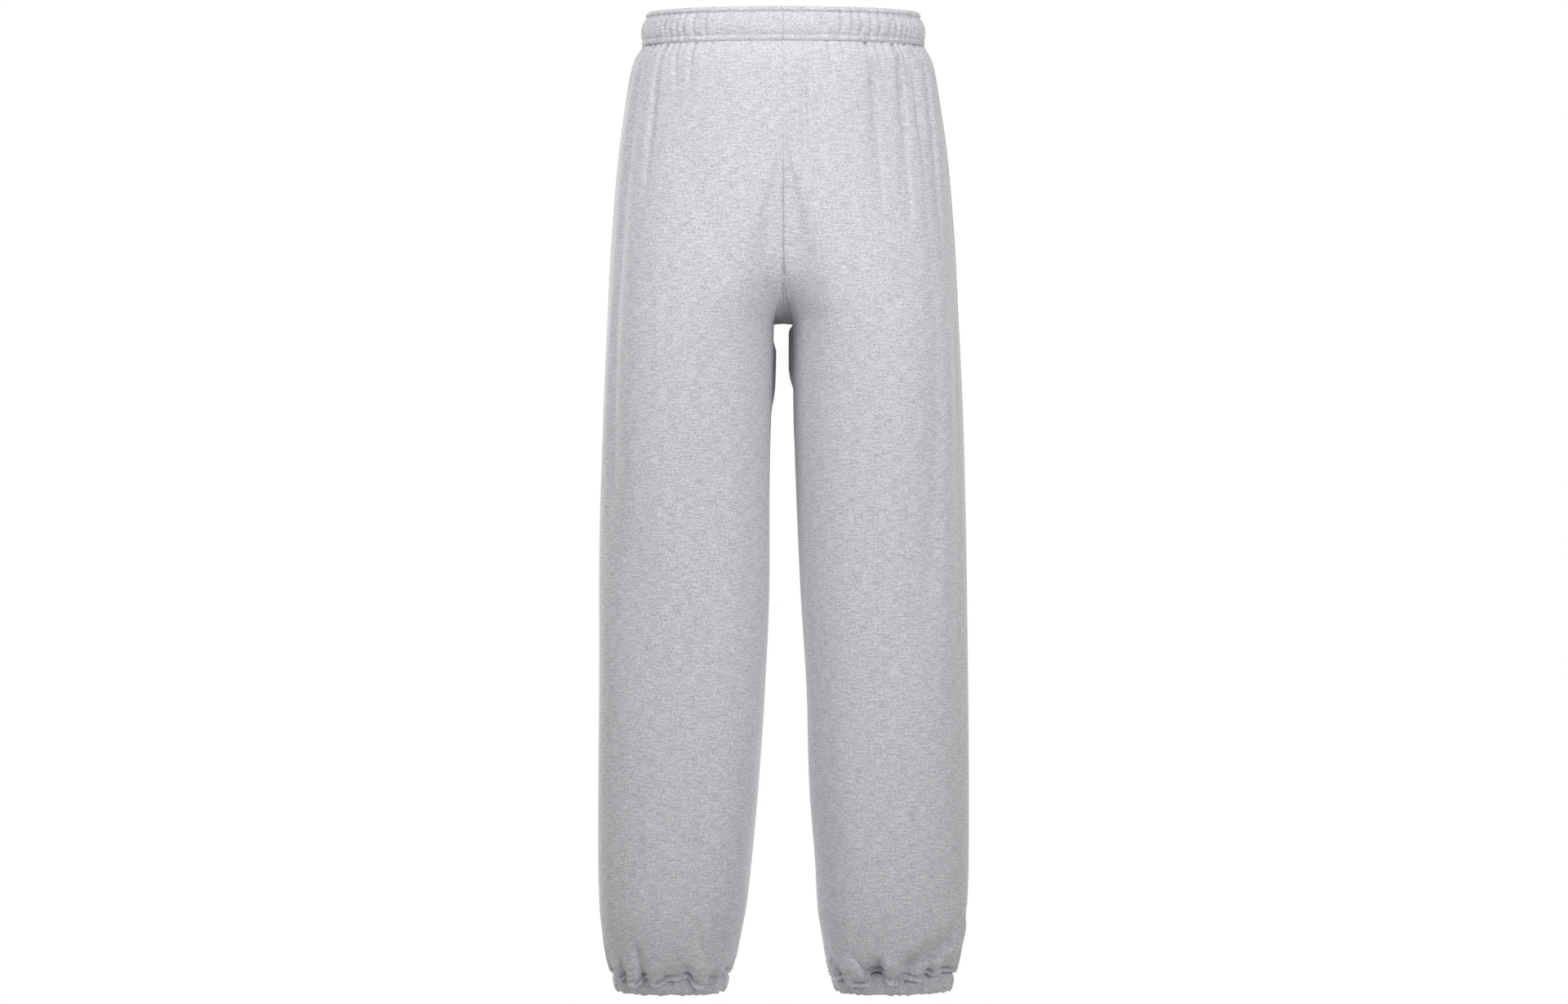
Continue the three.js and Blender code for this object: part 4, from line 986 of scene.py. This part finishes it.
ROOM_LIGHT = 0.38
world = bpy.data.worlds.new("white_sweep")
bpy.context.scene.world = world
world.use_nodes = True
world.node_tree.nodes.clear()
add = shader_nodes(world.node_tree)
seen = add("ShaderNodeLightPath")
white = add("ShaderNodeBackground", {"Color": (1, 1, 1, 1), "Strength": 1.0})
room = add("ShaderNodeBackground", {"Color": (1, 1, 1, 1), "Strength": ROOM_LIGHT})
both = add("ShaderNodeMixShader", {0: seen.outputs["Is Camera Ray"], 1: room.outputs[0], 2: white.outputs[0]})
add("ShaderNodeOutputWorld", {"Surface": both.outputs[0]})


# The two front lights have a narrow spread, so that their light falls off down the legs.
NARROW = 1.0


def soft_light(name, place, aim, size, power, spread=np.pi):
    light = bpy.data.lights.new(name, "AREA")
    light.spread = spread
    light.shape = "DISK"
    light.size = size
    light.energy = power
    lamp = bpy.data.objects.new(name, light)
    lamp.location = place
    lamp.rotation_euler = (Vector(aim) - Vector(place)).to_track_quat("-Z", "Y").to_euler()
    lamp.visible_camera = False
    bpy.context.scene.collection.objects.link(lamp)


soft_light("high", (-0.2, -0.9, 1.0), (0, 0, -0.1), 0.9, 9.2)
soft_light("left", (-1.8, -1.5, 0.3), (0, 0, -0.3), 1.2, 1.85, NARROW)
soft_light("right", (1.3, -2.0, 0.0), (0, 0, -0.3), 1.2, 3.35, NARROW)
soft_light("behind_right", (-1.4, 1.9, 0.0), (0, 0, -0.5), 1.4, 38)
soft_light("behind_left", (1.2, 2.2, -0.7), (0, 0, -0.7), 1.4, 25)

FLOOR_HEIGHT, FLOOR_RADIUS = -1.6, 3.4
disc = bmesh.new()
bmesh.ops.create_circle(disc, cap_ends=True, segments=96, radius=FLOOR_RADIUS)
disc.transform(Matrix.Translation((0, 0, FLOOR_HEIGHT)))
floor_mesh = bpy.data.meshes.new("floor")
disc.to_mesh(floor_mesh)
disc.free()
matt_white = bpy.data.materials.new("matt_white")
matt_white.use_nodes = True
matt_white.node_tree.nodes["Principled BSDF"].inputs["Base Color"].default_value = (0.55, 0.55, 0.55, 1)
matt_white.node_tree.nodes["Principled BSDF"].inputs["Roughness"].default_value = 0.9
add_piece("floor", floor_mesh, matt_white)
